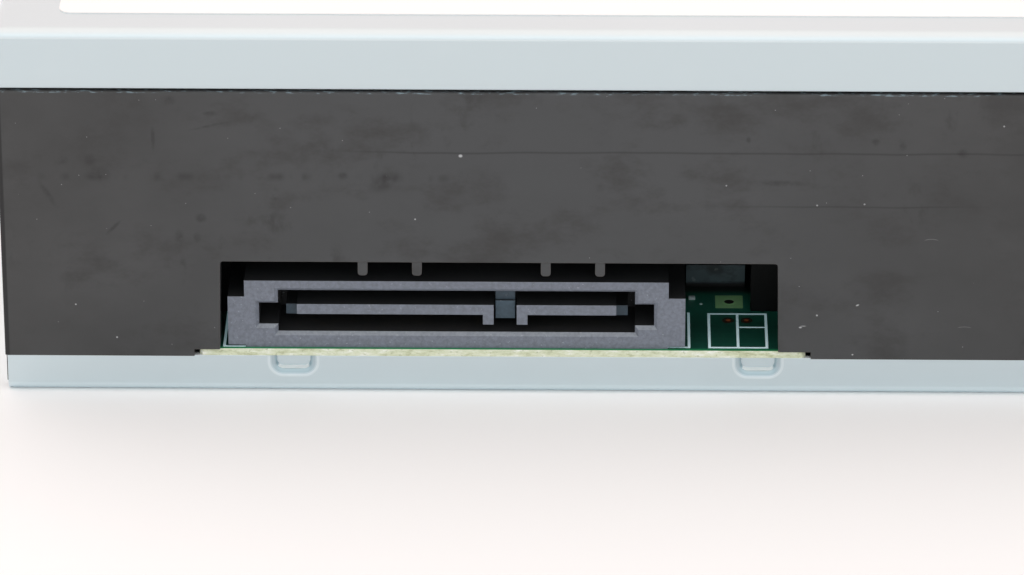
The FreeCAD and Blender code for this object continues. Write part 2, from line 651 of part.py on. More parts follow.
def main_board():
    """The main circuit board; its tab reaches out under the rear wall."""
    main = slab(BOARD_X0, BOARD_X1, BOARD_Y1 - BOARD_LONG, BOARD_Y1, BOARD_Z, BOARD_TOP, 1.5)
    tab = box(BOARD_TAB_X0, BOARD_TAB_X1, BOARD_Y1 - 5, STEEL_REAR, BOARD_Z, BOARD_TOP)
    tab = tab.makeChamfer(0.35, [e for e in tab.Edges if e.CenterOfMass.y > STEEL_REAR - 0.01
                                 and abs(e.CenterOfMass.z - BOARD_Z - BOARD / 2) < 0.01])
    holes = [post(x, y, BOARD_Z - 1, BOARD_TOP + 1, 1.3) for x, y in BOARD_SCREWS]
    return carve(join(main, tab), *holes)


def board_screws():
    main = [screw(x, y, BOARD_Z, 2.3, 1.2, BOARD_SCREW_R, SCREW_REACH, 1) for x, y in BOARD_SCREWS]
    front = [screw(x, y, FRONT_BOARD_Z, 2.1, 1.2, BOARD_SCREW_R, SCREW_REACH, 1)
             for x, y in FRONT_BOARD_SCREWS]
    return group(*main, *front)


def socket_shell():
    """Moulded plug body with its mouth, end guides and the two keyed tongues."""
    z = BOARD_TOP
    back = SOCKET_Y - SOCKET_DEEP
    half = SOCKET_WIDE / 2
    low = box(SOCKET_X - half, SOCKET_X + half, back, SOCKET_Y, z, z + SHOULDER_TALL)
    high = box(SOCKET_X - SOCKET_SHOULDER / 2, SOCKET_X + SOCKET_SHOULDER / 2, back, SOCKET_Y,
               z + 1, z + SOCKET_TALL)
    feet = [sided(1, SOCKET_X - half - 1, SOCKET_X - half + 1.8, back + 2, SOCKET_Y + 1, z, z + 0.25),
            sided(1, SOCKET_X + half - 1.8, SOCKET_X + half + 1, back + 2, SOCKET_Y + 1, z, z + 0.25)]
    floor = SOCKET_Y - CAVITY_DEEP
    cavity = mouth(CAVITY_WIDE, CAVITY_LOW, CAVITY_TALL, floor)
    guides = mouth(SLOT_WIDE, SLOT_LOW, SLOT_TALL, floor + 1)
    body = carve(join(low, high), cavity, guides, *feet)
    span = TONGUE_POWER + TONGUE_GAP + TONGUE_DATA
    tip = SOCKET_Y - TONGUE_SHORT
    power_x = SOCKET_X + span / 2 - TONGUE_POWER
    data_x = SOCKET_X - span / 2
    root = box(data_x, data_x + span, floor, floor + 3, z + TONGUE_LOW - 0.5, z + TONGUE_LOW + TONGUE)
    end_top = z + TONGUE_LOW + TONGUE - END_DROP
    ends = [box(x, x + END_WIDE, floor, SOCKET_Y - END_BACK, end_top - TONGUE, end_top)
            for x in (data_x - END_WIDE, data_x + span)]
    power = box(power_x, power_x + TONGUE_POWER, floor, tip, z + TONGUE_LOW, z + TONGUE_LOW + TONGUE)
    data = box(data_x, data_x + TONGUE_DATA, floor, tip, z + TONGUE_LOW, z + TONGUE_LOW + TONGUE)
    keys = [box(x, x + KEY, floor, tip, z + TONGUE_LOW - KEY_LONG, z + TONGUE_LOW + TONGUE)
            for x in (power_x, data_x + TONGUE_DATA - KEY)]
    web_x0 = data_x + TONGUE_DATA + WEB_SLACK
    web_x1 = power_x - WEB_SLACK
    web = box(web_x0, web_x1, floor, SOCKET_Y - WEB_BACK, z + TONGUE_LOW - WEB_LOW, z + TONGUE_LOW + TONGUE)
    pillar = box(web_x0, web_x1, floor, SOCKET_Y - PILLAR_BACK, z + TONGUE_LOW, z + CAVITY_LOW + CAVITY_TALL)
    return join(body, root, power, data, web, pillar, *keys, *ends)


def mouth(wide, low, tall, floor):
    """Opening of the plug with a bevelled rim."""
    z = BOARD_TOP + low
    bevel = 0.35
    x0 = SOCKET_X - wide / 2
    x1 = SOCKET_X + wide / 2
    hole = box(x0, x1, floor, SOCKET_Y + 1, z, z + tall)
    rims = []
    for y, grow in ((SOCKET_Y - bevel, 0), (SOCKET_Y, bevel)):
        p = [V(x0 - grow, y, z - grow), V(x1 + grow, y, z - grow),
             V(x1 + grow, y, z + tall + grow), V(x0 - grow, y, z + tall + grow)]
        rims.append(Part.makePolygon(p + p[:1]))
    return join(hole, Part.makeLoft(rims, True, True))


def socket_pins(first_x, count, margin):
    """A row of flat contacts under a tongue and their solder tails behind the plug."""
    z = BOARD_TOP + TONGUE_LOW
    back = SOCKET_Y - SOCKET_DEEP
    pins = []
    for k in range(count):
        x = first_x + margin + PIN_PITCH * k
        x0 = x - PIN_WIDE / 2
        pins.append(box(x0, x0 + PIN_WIDE, SOCKET_Y - CAVITY_DEEP + 3.0, SOCKET_Y - TONGUE_SHORT - 0.5,
                        z - PIN_THICK, z))
        pins.append(box(x0 + 0.15, x0 + PIN_WIDE - 0.15, back - 1.4, back, BOARD_TOP, BOARD_TOP + 0.25))
    return group(*pins)


def power_pins():
    start = SOCKET_X + (TONGUE_POWER + TONGUE_GAP + TONGUE_DATA) / 2 - TONGUE_POWER
    return socket_pins(start, PINS_POWER, (TONGUE_POWER + KEY - PIN_PITCH * (PINS_POWER - 1)) / 2)


def data_pins():
    start = SOCKET_X - (TONGUE_POWER + TONGUE_GAP + TONGUE_DATA) / 2
    return socket_pins(start, PINS_DATA, (TONGUE_DATA - KEY - PIN_PITCH * (PINS_DATA - 1)) / 2)


def flat_pack(x, y, wide, long, tall, legs, z):
    """A chip with gull legs along two sides."""
    body = slab(x - wide / 2, x + wide / 2, y - long / 2, y + long / 2, z + 0.1, z + tall, 0.3)
    pitch = (long - 1.6) / (legs - 1)
    reach = wide / 2 + 1.0
    pieces = [body]
    for k in range(legs):
        y0 = y - long / 2 + 0.8 + pitch * k
        pieces.append(box(x - reach, x + reach, y0 - pitch / 4, y0 + pitch / 4, z, z + 0.45))
    return join(*pieces)


def controller_chip():
    return flat_pack(8.0, BOARD_Y1 - 42.3, 18.0, 18.0, 1.2, 18, BOARD_TOP)


def driver_chip():
    return flat_pack(33.0, BOARD_Y1 - 30.3, 8.0, 14.0, 1.3, 12, BOARD_TOP)


def memory_chip():
    return flat_pack(-24.0, BOARD_Y1 - 48.3, 8.0, 12.0, 1.1, 9, BOARD_TOP)


def capacitors():
    """Upright storage capacitors and their square bases."""
    pieces = []
    y = BOARD_Y1 - 4.8
    tall = 5.4
    r = 2.0
    for x in (-24.0, -31.0, -38.0):
        base = slab(x - r - 0.2, x + r + 0.2, y - r - 0.2, y + r + 0.2, BOARD_TOP, BOARD_TOP + 0.9, 0.5)
        pieces.append(join(base, post(x, y, BOARD_TOP, BOARD_TOP + tall, r)))
    return group(*pieces)


def cable_sockets():
    """Low sockets for the flat cables, on both boards, each with a way in and an undercut behind."""
    cheek = 0.7
    sill = 0.7
    way_tall = 0.6
    under_tall = 1.05
    pieces = []
    for x, y, wide, z, tall in ((-1.55, BOARD_Y1 - 14.0, 6.3, BOARD_TOP, 3.05),
                                (56.4, CABLE_Y + 0.5, 6.0, BOARD_TOP, 2.4),
                                (50.0, FRONT + 20.0, 7.6, FRONT_BOARD_TOP, 2.4)):
        half = wide / 2
        back = 1 if y > 0 else -1
        body = box(x - half, x + half, y - 2, y + 2, z, z + tall)
        in_y0, in_y1 = sorted((y - back * 3, y + back * 0.5))
        under_y0, under_y1 = sorted((y + back * 0.9, y + back * 3))
        way = box(x - half + cheek, x + half - cheek, in_y0, in_y1, z + sill, z + sill + way_tall)
        under = box(x - half - 1, x + half + 1, under_y0, under_y1, z - 1, z + under_tall)
        pieces.append(carve(body, way, under))
    return group(*pieces)


def ribbon(points, x0, x1, thick):
    """A flat cable that follows a line of points in the YZ plane, with rounded turns."""
    spots = [V(x0, y, z) for y, z in points]
    top = [V(x0, y, z + thick) for y, z in reversed(points)]
    face = Part.Face(Part.makePolygon(spots + top + spots[:1]))
    return face.extrude(V(x1 - x0, 0, 0))


def front_cable():
    """Flat cable from the main board to the front board, laid along the right wall."""
    z0 = BOARD_TOP + 0.9
    z1 = FRONT_BOARD_TOP + 0.9
    y1 = FRONT + 20.5
    dip = 5.2
    line = [(CABLE_Y, z0), (CABLE_Y - 8, z0), (LIFT_Y0 + 16, dip), (CAM_Y1 + 2.1, dip),
            (CAM_Y0 - 0.5, z1), (y1, z1)]
    first = ribbon(line, 54.2, 58.6, 0.15)
    fold = ribbon([(y1 + 4, z1 + 0.15), (y1 + 8, z1 + 0.15)], 48.0, 58.6, 0.15)
    last = ribbon([(y1, z1), (y1 + 8, z1)], 48.0, 52.4, 0.15)
    return join(carve(first, box(53, 60, y1 - 1, y1 + 4, 0, 20)), fold, last)


def front_board():
    y0 = FRONT + 1.0
    board = slab(FRONT_BOARD_X0, FRONT_BOARD_X1, y0, y0 + FRONT_BOARD_LONG, FRONT_BOARD_Z,
                 FRONT_BOARD_Z + BOARD, 1.0)
    return carve(board, *[post(x, y, 0, 9, 1.3) for x, y in FRONT_BOARD_SCREWS])


def switch_body():
    """Side-push switch that the eject button works."""
    z = FRONT_BOARD_TOP
    y = SWITCH_Y
    body = box(BUTTON_X - 3.2, BUTTON_X + 3.2, y, y + 3.6, z, z + 4.4)
    way = box(BUTTON_X - 1.3, BUTTON_X + 1.3, y - 1, y + 1.4, z + 1.3, z + 3.3)
    return carve(body, way)


def switch_plunger():
    z = FRONT_BOARD_TOP
    y = SWITCH_Y
    return box(BUTTON_X - 1.2, BUTTON_X + 1.2, y - 1.0, y + 0.6, z + 1.4, z + 3.2)


def indicator_lamp():
    z = FRONT_BOARD_TOP
    y = FRONT + 1.6
    body = box(LAMP_X - 1.5, LAMP_X + 1.5, y + 0.6, y + 3.0, z, z + 2.8)
    return join(body, rod_y(LAMP_X, z + LAMP_UP, y, y + 1.0, 1.1))


def light_pipe():
    """Clear rod that brings the lamp to the bezel."""
    z = FRONT_BOARD_TOP + LAMP_UP
    stem = box(LAMP_X - 2.0, LAMP_X + 2.0, FACE, FRONT + 1.4, z - 0.8, z + 0.8)
    collar = box(LAMP_X - 3.0, LAMP_X + 3.0, FACE + BEZEL_WALL, FACE + BEZEL_WALL + 0.8, z - 1.6, z + 1.6)
    return join(stem, collar)


def front_bezel():
    """Moulded front with the doorway of the tray, button, lamp and pin hole."""
    half = BEZEL_HALF
    outer = box(-half, half, FACE, FRONT, 0, BEZEL_HEIGHT)
    outer = soften(outer, 1.2,
                   lambda c: c.y < FACE + 0.01 or abs(c.x) > half - 0.01 and abs(c.y - FRONT) > 1)
    hollow = box(-half + 2, half - 2, FACE + BEZEL_WALL, FRONT + 1, 2.0, BEZEL_HEIGHT - 2)
    way = DOOR_HALF + DOOR_GAP
    doorway = slab(-way, way, -(DOOR_LOW + DOOR_TALL + DOOR_GAP), -(DOOR_LOW - DOOR_GAP),
                   -1, BEZEL_DEPTH, 0.8)
    doorway.rotate(V(0, 0, 0), V(1, 0, 0), -90)
    doorway.translate(V(0, FACE, 0))
    lamp_z = FRONT_BOARD_TOP + LAMP_UP
    tools = [
        hollow,
        doorway,
        box(BUTTON_X - BUTTON_WIDE / 2 - 0.3, BUTTON_X + BUTTON_WIDE / 2 + 0.3, FACE - 1, FACE + 3,
            BUTTON_Z - BUTTON_TALL / 2 - 0.3, BUTTON_Z + BUTTON_TALL / 2 + 0.3),
        box(LAMP_X - 2.05, LAMP_X + 2.05, FACE - 1, FACE + 3, lamp_z - 0.85, lamp_z + 0.85),
        rod_y(-22.0, 14.0, FACE - 1, FACE + 3, 0.75),
        rod_y(MOTOR_X + 20, 8.0, FACE - 1, FACE + 3, 0.4),
    ]
    shell = carve(outer, *tools)
    hooks = []
    for side in SIDES:
        reach = WALL_IN - 2.2
        hooks.append(sided(side, reach, WALL_IN - FIT, FRONT - 3.0, FRONT + 7.5, HOOK_Z0, HOOK_Z1))
        hooks.append(sided(side, WALL_IN - FIT, CHASSIS_HALF, FRONT + HOOK_Y0, FRONT + HOOK_Y1,
                           HOOK_Z0, HOOK_Z1))
        hooks.append(sided(side, reach, half - 1, FACE + 2, FRONT, HOOK_Z0, HOOK_Z1))
    return join(shell, *hooks)


def eject_button():
    flange_y = FACE + BEZEL_WALL + RUN
    cap = box(BUTTON_X - BUTTON_WIDE / 2, BUTTON_X + BUTTON_WIDE / 2, FACE, flange_y + 0.9,
              BUTTON_Z - BUTTON_TALL / 2, BUTTON_Z + BUTTON_TALL / 2)
    cap = soften(cap, 0.4, lambda c: c.y < FACE + 0.01)
    flange = box(BUTTON_X - BUTTON_WIDE / 2 - 1.2, BUTTON_X + BUTTON_WIDE / 2 + 1.2, flange_y, flange_y + 0.9,
                 BUTTON_Z - BUTTON_TALL / 2 - 1.0, BUTTON_Z + BUTTON_TALL / 2 + 1.0)
    stem = box(BUTTON_X - 1.5, BUTTON_X + 1.5, flange_y + 0.5, SWITCH_Y - 1.0 - RUN,
               BUTTON_Z - 2.0, BUTTON_Z + 1.0)
    return join(cap, flange, stem)


def disc_tray():
    """Drawer with the two disc recesses, the pickup slot and the rack under its left edge."""
    front = TRAY_FRONT
    body = slab(-TRAY_HALF, TRAY_HALF, front, TRAY_BACK, TRAY_LOW, TRAY_TOP, 2.0)
    pocket = slab(-TRAY_HALF + 2, TRAY_HALF - 2, front + 4, TRAY_BACK - 2,
                  TRAY_LOW, TRAY_TOP - TRAY_SKIN, 2.0)
    pocket = carve(pocket, post(0, DISC_Y, TRAY_LOW - 1, TRAY_TOP, DISC_R + 2))
    lip = box(-TRAY_HALF + 2, TRAY_HALF - 2, front, front + 2.2, DOOR_LOW + 1.4, DOOR_LOW + DOOR_TALL - 2)
    brace = [box(x - 1, x + 1, front, front + 5, TRAY_TOP, DOOR_LOW + DOOR_TALL - 3) for x in (-40, 0, 40)]
    body = join(carve(body, pocket), lip, rack(), *brace)
    slot = box(-PICKUP_SLOT, PICKUP_SLOT, DISC_Y, PICKUP_SLOT_END, 0, 40)
    slot = soften(slot, 3.0, lambda c: c.y > PICKUP_SLOT_END - 0.01 and abs(c.z - 20) < 1)
    channel = box(-22, 22, PICKUP_SLOT_END - 1, TRAY_BACK + 1, TRAY_LOW - 1, TRAY_LOW + 1.4)
    tools = [
        post(0, DISC_Y, TRAY_LOW + DISC_FLOOR, TRAY_TOP + 1, DISC_R),
        post(0, DISC_Y, TRAY_LOW + SMALL_DISC_FLOOR, TRAY_TOP + 1, SMALL_DISC_R),
        post(0, DISC_Y, TRAY_LOW - 1, TRAY_TOP + 1, HUB_HOLE_R),
        slot,
        channel,
    ]
    for x in (-52, 52):
        tools.append(post(x, DISC_Y - DISC_R * 0.62, TRAY_LOW + DISC_FLOOR, TRAY_TOP + 1, 9.0))
    return carve(body, *tools)


def rack():
    """Toothed rib that the pinion drives, with its teeth towards the middle of the tray."""
    pitch = math.pi * RACK_MODULE
    tip = RACK_X + 0.95 * RACK_MODULE
    root = RACK_X - 1.2 * RACK_MODULE
    lean = math.tan(math.radians(20))
    half = pitch / 4 - BACKLASH / 2
    first = GEAR_Y + pitch / 2
    count = int((TRAY_BACK - 3 - first) / pitch)
    y0 = GEAR_Y - 1.5 * pitch
    back = root - 2.2
    points = [V(back, y0 - 2, RACK_LOW), V(root, y0 - 2, RACK_LOW)]
    for k in range(-2, count):
        y = first + pitch * k
        points.append(V(root, y - half - 1.2 * RACK_MODULE * lean, RACK_LOW))
        points.append(V(tip, y - half + 0.95 * RACK_MODULE * lean, RACK_LOW))
        points.append(V(tip, y + half - 0.95 * RACK_MODULE * lean, RACK_LOW))
        points.append(V(root, y + half + 1.2 * RACK_MODULE * lean, RACK_LOW))
    points += [V(root, TRAY_BACK - 1, RACK_LOW), V(back, TRAY_BACK - 1, RACK_LOW)]
    teeth = Part.Face(Part.makePolygon(points + points[:1])).extrude(V(0, 0, RACK_TALL))
    spine = box(back, root, y0 - 2, TRAY_BACK - 1, RACK_LOW + RACK_TALL - 1, TRAY_TOP - TRAY_SKIN)
    return join(teeth, spine)


def tray_door():
    y0 = FACE
    y1 = TRAY_FRONT
    body = box(-DOOR_HALF, DOOR_HALF, y0, y1, DOOR_LOW, DOOR_LOW + DOOR_TALL)
    body = soften(body, 0.7, lambda c: c.y < y0 + 0.01)
    high = DOOR_LOW + DOOR_TALL - 0.9
    relief = [sided(side, 3, DOOR_HALF - 4, y1 - 1.1, y1 + 1, high - 1, high) for side in SIDES]
    return carve(body, *relief)


def drive_gear():
    """Large wheel with the pinion that moves the tray."""
    wheel = gear(GEAR_MODULE, GEAR_TEETH, 0, GEAR_X, GEAR_Y, GEAR_Z, GEAR_Z + GEAR_TALL)
    pinion = gear(RACK_MODULE, PINION_TEETH, math.pi, GEAR_X, GEAR_Y, GEAR_Z + GEAR_TALL, TRAY_LOW - 1.2)
    return carve(join(wheel, pinion), post(GEAR_X, GEAR_Y, 0, 40, SHAFT_R + RUN))


def pulley(x, y, r, z, bore):
    """Belt pulley with a square groove."""
    rim = post(x, y, z, z + PULLEY_TALL, r + PULLEY_LIP)
    low = z + (PULLEY_TALL - BELT - PASS) / 2
    high = low + BELT + PASS
    groove = carve(post(x, y, low, high, r + 2 * PULLEY_LIP), post(x, y, low, high, r))
    return carve(rim, groove, post(x, y, 0, 40, bore))


def pulley_gear():
    """Pulley wheel with the small gear that turns the large wheel."""
    turn = math.pi + math.pi / SMALL_TEETH
    small = gear(GEAR_MODULE, SMALL_TEETH, turn, PULLEY_X, GEAR_Y, PULLEY_Z + PULLEY_TALL, GEAR_Z + GEAR_TALL)
    bore = SHAFT_R + RUN
    return join(pulley(PULLEY_X, GEAR_Y, PULLEY_R, PULLEY_Z, bore),
                carve(small, post(PULLEY_X, GEAR_Y, 0, 40, bore)))


def motor_pulley():
    stem = post(MOTOR_X, GEAR_Y, MOTOR_TOP + 0.9, PULLEY_Z + PULLEY_TALL, 0.75)
    return join(pulley(MOTOR_X, GEAR_Y, MOTOR_PULLEY_R, PULLEY_Z, 0.7), stem)


def belt_loop(grow, z):
    """Face inside the line that runs round both pulleys at a distance from their grooves."""
    r0 = MOTOR_PULLEY_R + grow
    r1 = PULLEY_R + grow
    lean = math.asin((r1 - r0) / (MOTOR_X - PULLEY_X))
    tops = []
    for cx, r in ((PULLEY_X, r1), (MOTOR_X, r0)):
        tops.append(V(cx + r * math.sin(lean), GEAR_Y + r * math.cos(lean), z))
    lows = [V(p.x, 2 * GEAR_Y - p.y, z) for p in tops]
    return Part.Face(Part.Wire([
        Part.makeLine(tops[0], tops[1]),
        Part.Arc(tops[1], V(MOTOR_X + r0, GEAR_Y, z), lows[1]).toShape(),
        Part.makeLine(lows[1], lows[0]),
        Part.Arc(lows[0], V(PULLEY_X - r1, GEAR_Y, z), tops[0]).toShape(),
    ]))


def belt():
    """Square rubber belt round both pulleys."""
    z = PULLEY_Z + (PULLEY_TALL - BELT) / 2
    band = belt_loop(FIT + BELT, z).cut(belt_loop(FIT, z))
    return band.extrude(V(0, 0, BELT)).Solids[0]


def loading_motor():
    """Round motor in the cup under the deck, with flats and terminals at its lower end."""
    can = post(MOTOR_X, GEAR_Y, 2.4, MOTOR_TOP - RUN, MOTOR_R)
    can = soften(can, 0.8, lambda c: c.z < 2.41)
    boss = post(MOTOR_X, GEAR_Y, MOTOR_TOP - 0.5, MOTOR_TOP + 0.8, 3.0)
    tabs = [box(MOTOR_X + x - 0.8, MOTOR_X + x + 0.8, GEAR_Y + 6, GEAR_Y + 6.4, 1.6, 2.6) for x in (-3, 3)]
    return join(can, boss, *tabs)


def cam_slider():
    """Sliding plate whose two slanted slots lift the frame."""
    low = CAM_TRACK + PASS / 2
    body = box(-34.5, 19.5, CAM_Y0, CAM_Y1, low, 20.0)
    rest_z = LIFT_PIN_Z - PIN_DROP
    slots = []
    for pin in (-LIFT_PIN_X, LIFT_PIN_X):
        ends = (V(pin, CAM_Y0 - 1, rest_z), V(pin - CAM_TRAVEL, CAM_Y0 - 1, LIFT_PIN_Z))
        r = LIFT_PIN_R + PASS
        away = (ends[1] - ends[0]).normalize()
        up = V(-away.z, 0, away.x) * r
        p = [ends[0] + up, ends[0] - away * r, ends[0] - up, ends[1] - up, ends[1] + away * r, ends[1] + up]
        outline = Part.Wire([Part.Arc(p[0], p[1], p[2]).toShape(), Part.makeLine(p[2], p[3]),
                             Part.Arc(p[3], p[4], p[5]).toShape(), Part.makeLine(p[5], p[0])])
        slots.append(Part.Face(outline).extrude(V(0, CAM_THICK + 2, 0)))
    light = [box(x, x + 6, CAM_Y0 - 1, CAM_Y1 + 1, low + 12.6, low + 14.4) for x in (-12, -4, 4)]
    return carve(body, *slots, *light)


def below_frame():
    """What the floor and the main board need kept free under the lowered frame."""
    wide = LIFT_HALF + 10
    floor = box(-wide, wide, LIFT_Y0 - 10, LIFT_Y1 + 5, -20, FLOOR_PRESS + SHEET + PASS)
    board = box(BOARD_X0 - PASS, BOARD_X1 + PASS, BOARD_Y1 - BOARD_LONG - PASS, BOARD_Y1, -20, BOARD_TOP + PASS)
    return floor, board


def lift_frame():
    """Moulded ring that swings on two rear pins and rides on the slider by two front pins."""
    half, bar = LIFT_HALF, LIFT_BAR
    ring = slab(-half, half, LIFT_Y0, LIFT_Y1, LIFT_LOW, LIFT_TOP, 3.0)
    hole = slab(-half + bar, half - bar, LIFT_Y0 + 4, LIFT_Y1 - 7.5, LIFT_LOW - 1, LIFT_TOP + 1, 3.0)
    wall = box(-30, 30, LIFT_Y0, LIFT_Y0 + 2.5, LIFT_LOW, LIFT_PIN_Z + 3)
    pieces = [wall]
    for side in SIDES:
        x = side * LIFT_PIN_X
        pieces.append(rod_y(x, LIFT_PIN_Z, CAM_Y0 - 0.3, LIFT_Y0 + 1, LIFT_PIN_R))
        pieces.append(rod_x(PIVOT_Y, PIVOT_Z, side * (half - 2), side * (half + 6), PIVOT_R))
        pieces.append(sided(side, half - 1.4, half, LIFT_Y0 + 8, LIFT_Y1 - 10, LIFT_TOP, LIFT_TOP + 2))
    frame = join(carve(ring, hole), *pieces)
    frame = lowered(carve(frame, *[post(x, y, 0, 30, 1.2) for x, y in DAMPER_SPOTS]))
    return carve(frame, *below_frame())


def dampers():
    """Rubber mounts between the frame and the pickup deck."""
    pieces = []
    for x, y in DAMPER_SPOTS:
        body = join(post(x, y, LIFT_TOP, PLATE_Z, DAMPER_R),
                    post(x, y, PLATE_Z, PLATE_TOP, DAMPER_NECK_R - RUN),
                    post(x, y, PLATE_TOP, PLATE_TOP + DAMPER_HEAD, DAMPER_R))
        pieces.append(carve(body, post(x, y, 0, 30, 1.25)))
    return lowered(group(*pieces))


def damper_screws():
    face = PLATE_TOP + DAMPER_HEAD
    reach = face - LIFT_LOW - 0.3
    return lowered(group(*[screw(x, y, face, 2.6, 1.1, 1.15, reach, -1) for x, y in DAMPER_SPOTS]))


def pickup_deck():
    """Plate that carries the spindle, the guide rails and the feed screw."""
    plate = slab(-50, 50, LIFT_Y0 + 4, RAIL_Y1, PLATE_Z, PLATE_TOP, 3.0)
    hole = slab(-30, 38, SLED_Y - 3.5, RAIL_Y1 - RAIL_HOLD - 0.5, PLATE_Z - 1, PLATE_TOP + 1, 2.0)
    holders = [box(side * RAIL_X - 4, side * RAIL_X + 4, y, y + RAIL_HOLD, PLATE_Z + PLATE / 2, RAIL_Z + 2.6)
               for side in SIDES for y in (RAIL_Y0, RAIL_Y1 - RAIL_HOLD)]
    bores = [rod_y(side * RAIL_X, RAIL_Z, RAIL_Y0 + 1, RAIL_Y1 - 1, RAIL_R + RUN) for side in SIDES]
    body = carve(join(plate, *holders), hole, *bores)
    return lowered(carve(body, *[post(x, y, 0, 30, DAMPER_NECK_R) for x, y in DAMPER_SPOTS]))


def guide_rails():
    return lowered(group(*[rod_y(side * RAIL_X, RAIL_Z, RAIL_Y0 + 1 + FIT, RAIL_Y1 - 1 - FIT, RAIL_R)
                           for side in SIDES]))


def spindle_base():
    """Mounting plate, bearing tube and wound core of the spindle motor."""
    z = PLATE_TOP
    plate = slab(-15.5, 15.5, DISC_Y - 16, DISC_Y + 11, z, z + 0.8, 2.0)
    tube = post(0, DISC_Y, z, z + 6.4, 3.0)
    core = carve(post(0, DISC_Y, z + 2.4, z + 5.4, 12.0), post(0, DISC_Y, 0, 40, 2.9))
    arms = []
    for k in range(9):
        cut = box(4.5, 13, -0.9, 0.9, 0, 40)
        cut.rotate(V(0, 0, 0), V(0, 0, 1), 40 * k)
        cut.translate(V(0, DISC_Y, 0))
        arms.append(cut)
    body = join(plate, tube, carve(core, *arms))
    return lowered(carve(body, post(0, DISC_Y, z + 0.4, 40, 1.2 + RUN)))


def turntable():
    """Spinning cup of the motor with the disc table above it."""
    z = PLATE_TOP
    cup = carve(post(0, DISC_Y, z + 1.6, z + 7.6, ROTOR_R), post(0, DISC_Y, z, z + 6.8, ROTOR_R - 0.7))
    neck = post(0, DISC_Y, z + 7.4, TABLE_Z - 2.2, 8.0)
    table = post(0, DISC_Y, TABLE_Z - 2.4, TABLE_Z - 0.4, TABLE_R)
    table = soften(table, 0.5, lambda c: c.z < TABLE_Z - 2.39)
    shaft = post(0, DISC_Y, z + 0.6, z + 7, 1.2)
    return lowered(join(cup, neck, table, shaft))


def table_pad():
    """Ring of soft rubber that grips the disc."""
    ring = post(0, DISC_Y, TABLE_Z - 0.4, TABLE_Z, TABLE_R - 0.3)
    return lowered(carve(ring, post(0, DISC_Y, 0, 40, 10.0)))


def centring_hub():
    """Tapered hub that centres the disc, with three sprung claws round it."""
    base = post(0, DISC_Y, TABLE_Z - 0.4, TABLE_Z + 0.9, HUB_R)
    cone = Part.makeCone(HUB_R, 5.6, 1.4, V(0, DISC_Y, TABLE_Z + 0.9))
    tools = [post(0, DISC_Y, TABLE_Z + 1.2, 60, 3.6)]
    for k in range(3):
        for side in SIDES:
            cut = box(4.6, 9, side * 1.8 - 0.25, side * 1.8 + 0.25, TABLE_Z, TABLE_Z + 5)
            cut.rotate(V(0, 0, 0), V(0, 0, 1), 120 * k)
            cut.translate(V(0, DISC_Y, 0))
            tools.append(cut)
    return lowered(carve(join(base, cone), *tools))


def feed_bracket():
    z = PLATE_TOP
    near_y = RAIL_Y0 + FEED_NEAR
    far_y = FEED_WALL_Y + BRACKET
    strip = box(38.4, DAMPER_X - DAMPER_R - PASS, near_y, far_y + FEED_MOTOR_LONG, z, z + BRACKET)
    near = box(SCREW_X - 3.5, DAMPER_X - DAMPER_R - PASS, near_y, near_y + BRACKET, z, RAIL_Z + 2.8)
    far = box(SCREW_X - 4.5, DAMPER_X - DAMPER_R - PASS, FEED_WALL_Y, far_y, z, RAIL_Z + 5.2)
    holes = [rod_y(SCREW_X, RAIL_Z, near_y - 1, near_y + 2, SCREW_TIP_R + RUN),
             rod_y(SCREW_X, RAIL_Z, FEED_WALL_Y - 1, far_y + 1, SCREW_R + 0.7)]
    return lowered(carve(join(strip, near, far), *holes))


def feed_motor():
    y0 = FEED_WALL_Y + BRACKET
    can = rod_y(SCREW_X, RAIL_Z, y0, y0 + FEED_MOTOR_LONG, FEED_MOTOR_R)
    low = RAIL_Z + FEED_MOTOR_R - 0.7
    flat = box(SCREW_X - 6, SCREW_X + 6, y0 - 1, y0 + FEED_MOTOR_LONG + 1, low, low + 5)
    return lowered(carve(can, flat))


def feed_screw():
    """Screw that moves the pickup in and out."""
    tip_y = RAIL_Y0 + FEED_NEAR + FIT
    far_y = FEED_WALL_Y + BRACKET - 2 * FIT
    return lowered(join(rod_y(SCREW_X, RAIL_Z, tip_y + 1.9, far_y, SCREW_R),
                        rod_y(SCREW_X, RAIL_Z, tip_y, tip_y + 2.4, SCREW_TIP_R)))


def pickup_body():
    """Cast sled with a closed bearing on one rail and an open fork on the other."""
    y0, y1 = SLED_Y, SLED_Y + SLED_LONG
    core = slab(-SLED_HALF, SLED_HALF, y0, y1, 11.0, 21.0, 2.0)
    bearing = box(SLED_HALF - 1, RAIL_X + 4, y0, y1, RAIL_Z - 2.6, RAIL_Z + 2.6)
    bearing = soften(bearing, 1.2, lambda c: c.x > RAIL_X + 3.9 and abs(c.y - (y0 + y1) / 2) < 0.1)
    fork = box(-RAIL_X - 3, -SLED_HALF + 1, y0 + 6, y1 - 6, RAIL_Z - 3, RAIL_Z + 3)
    gap = box(-RAIL_X - 4, -RAIL_X + RAIL_R + RUN, y0, y1, RAIL_Z - RAIL_R - RUN, RAIL_Z + RAIL_R + RUN)
    tools = [rod_y(RAIL_X, RAIL_Z, y0 - 1, y1 + 1, RAIL_R + RUN), gap]
    tools.append(box(-6.5, 6.5, y0 + 2, y0 + 15, 15.0, 22.0))
    for x in (-13, 13):
        tools.append(box(x - 2.5, x + 2.5, y0 + 3, y1 - 3, 19.5, 22))
    return lowered(carve(join(core, bearing, fork), *tools))


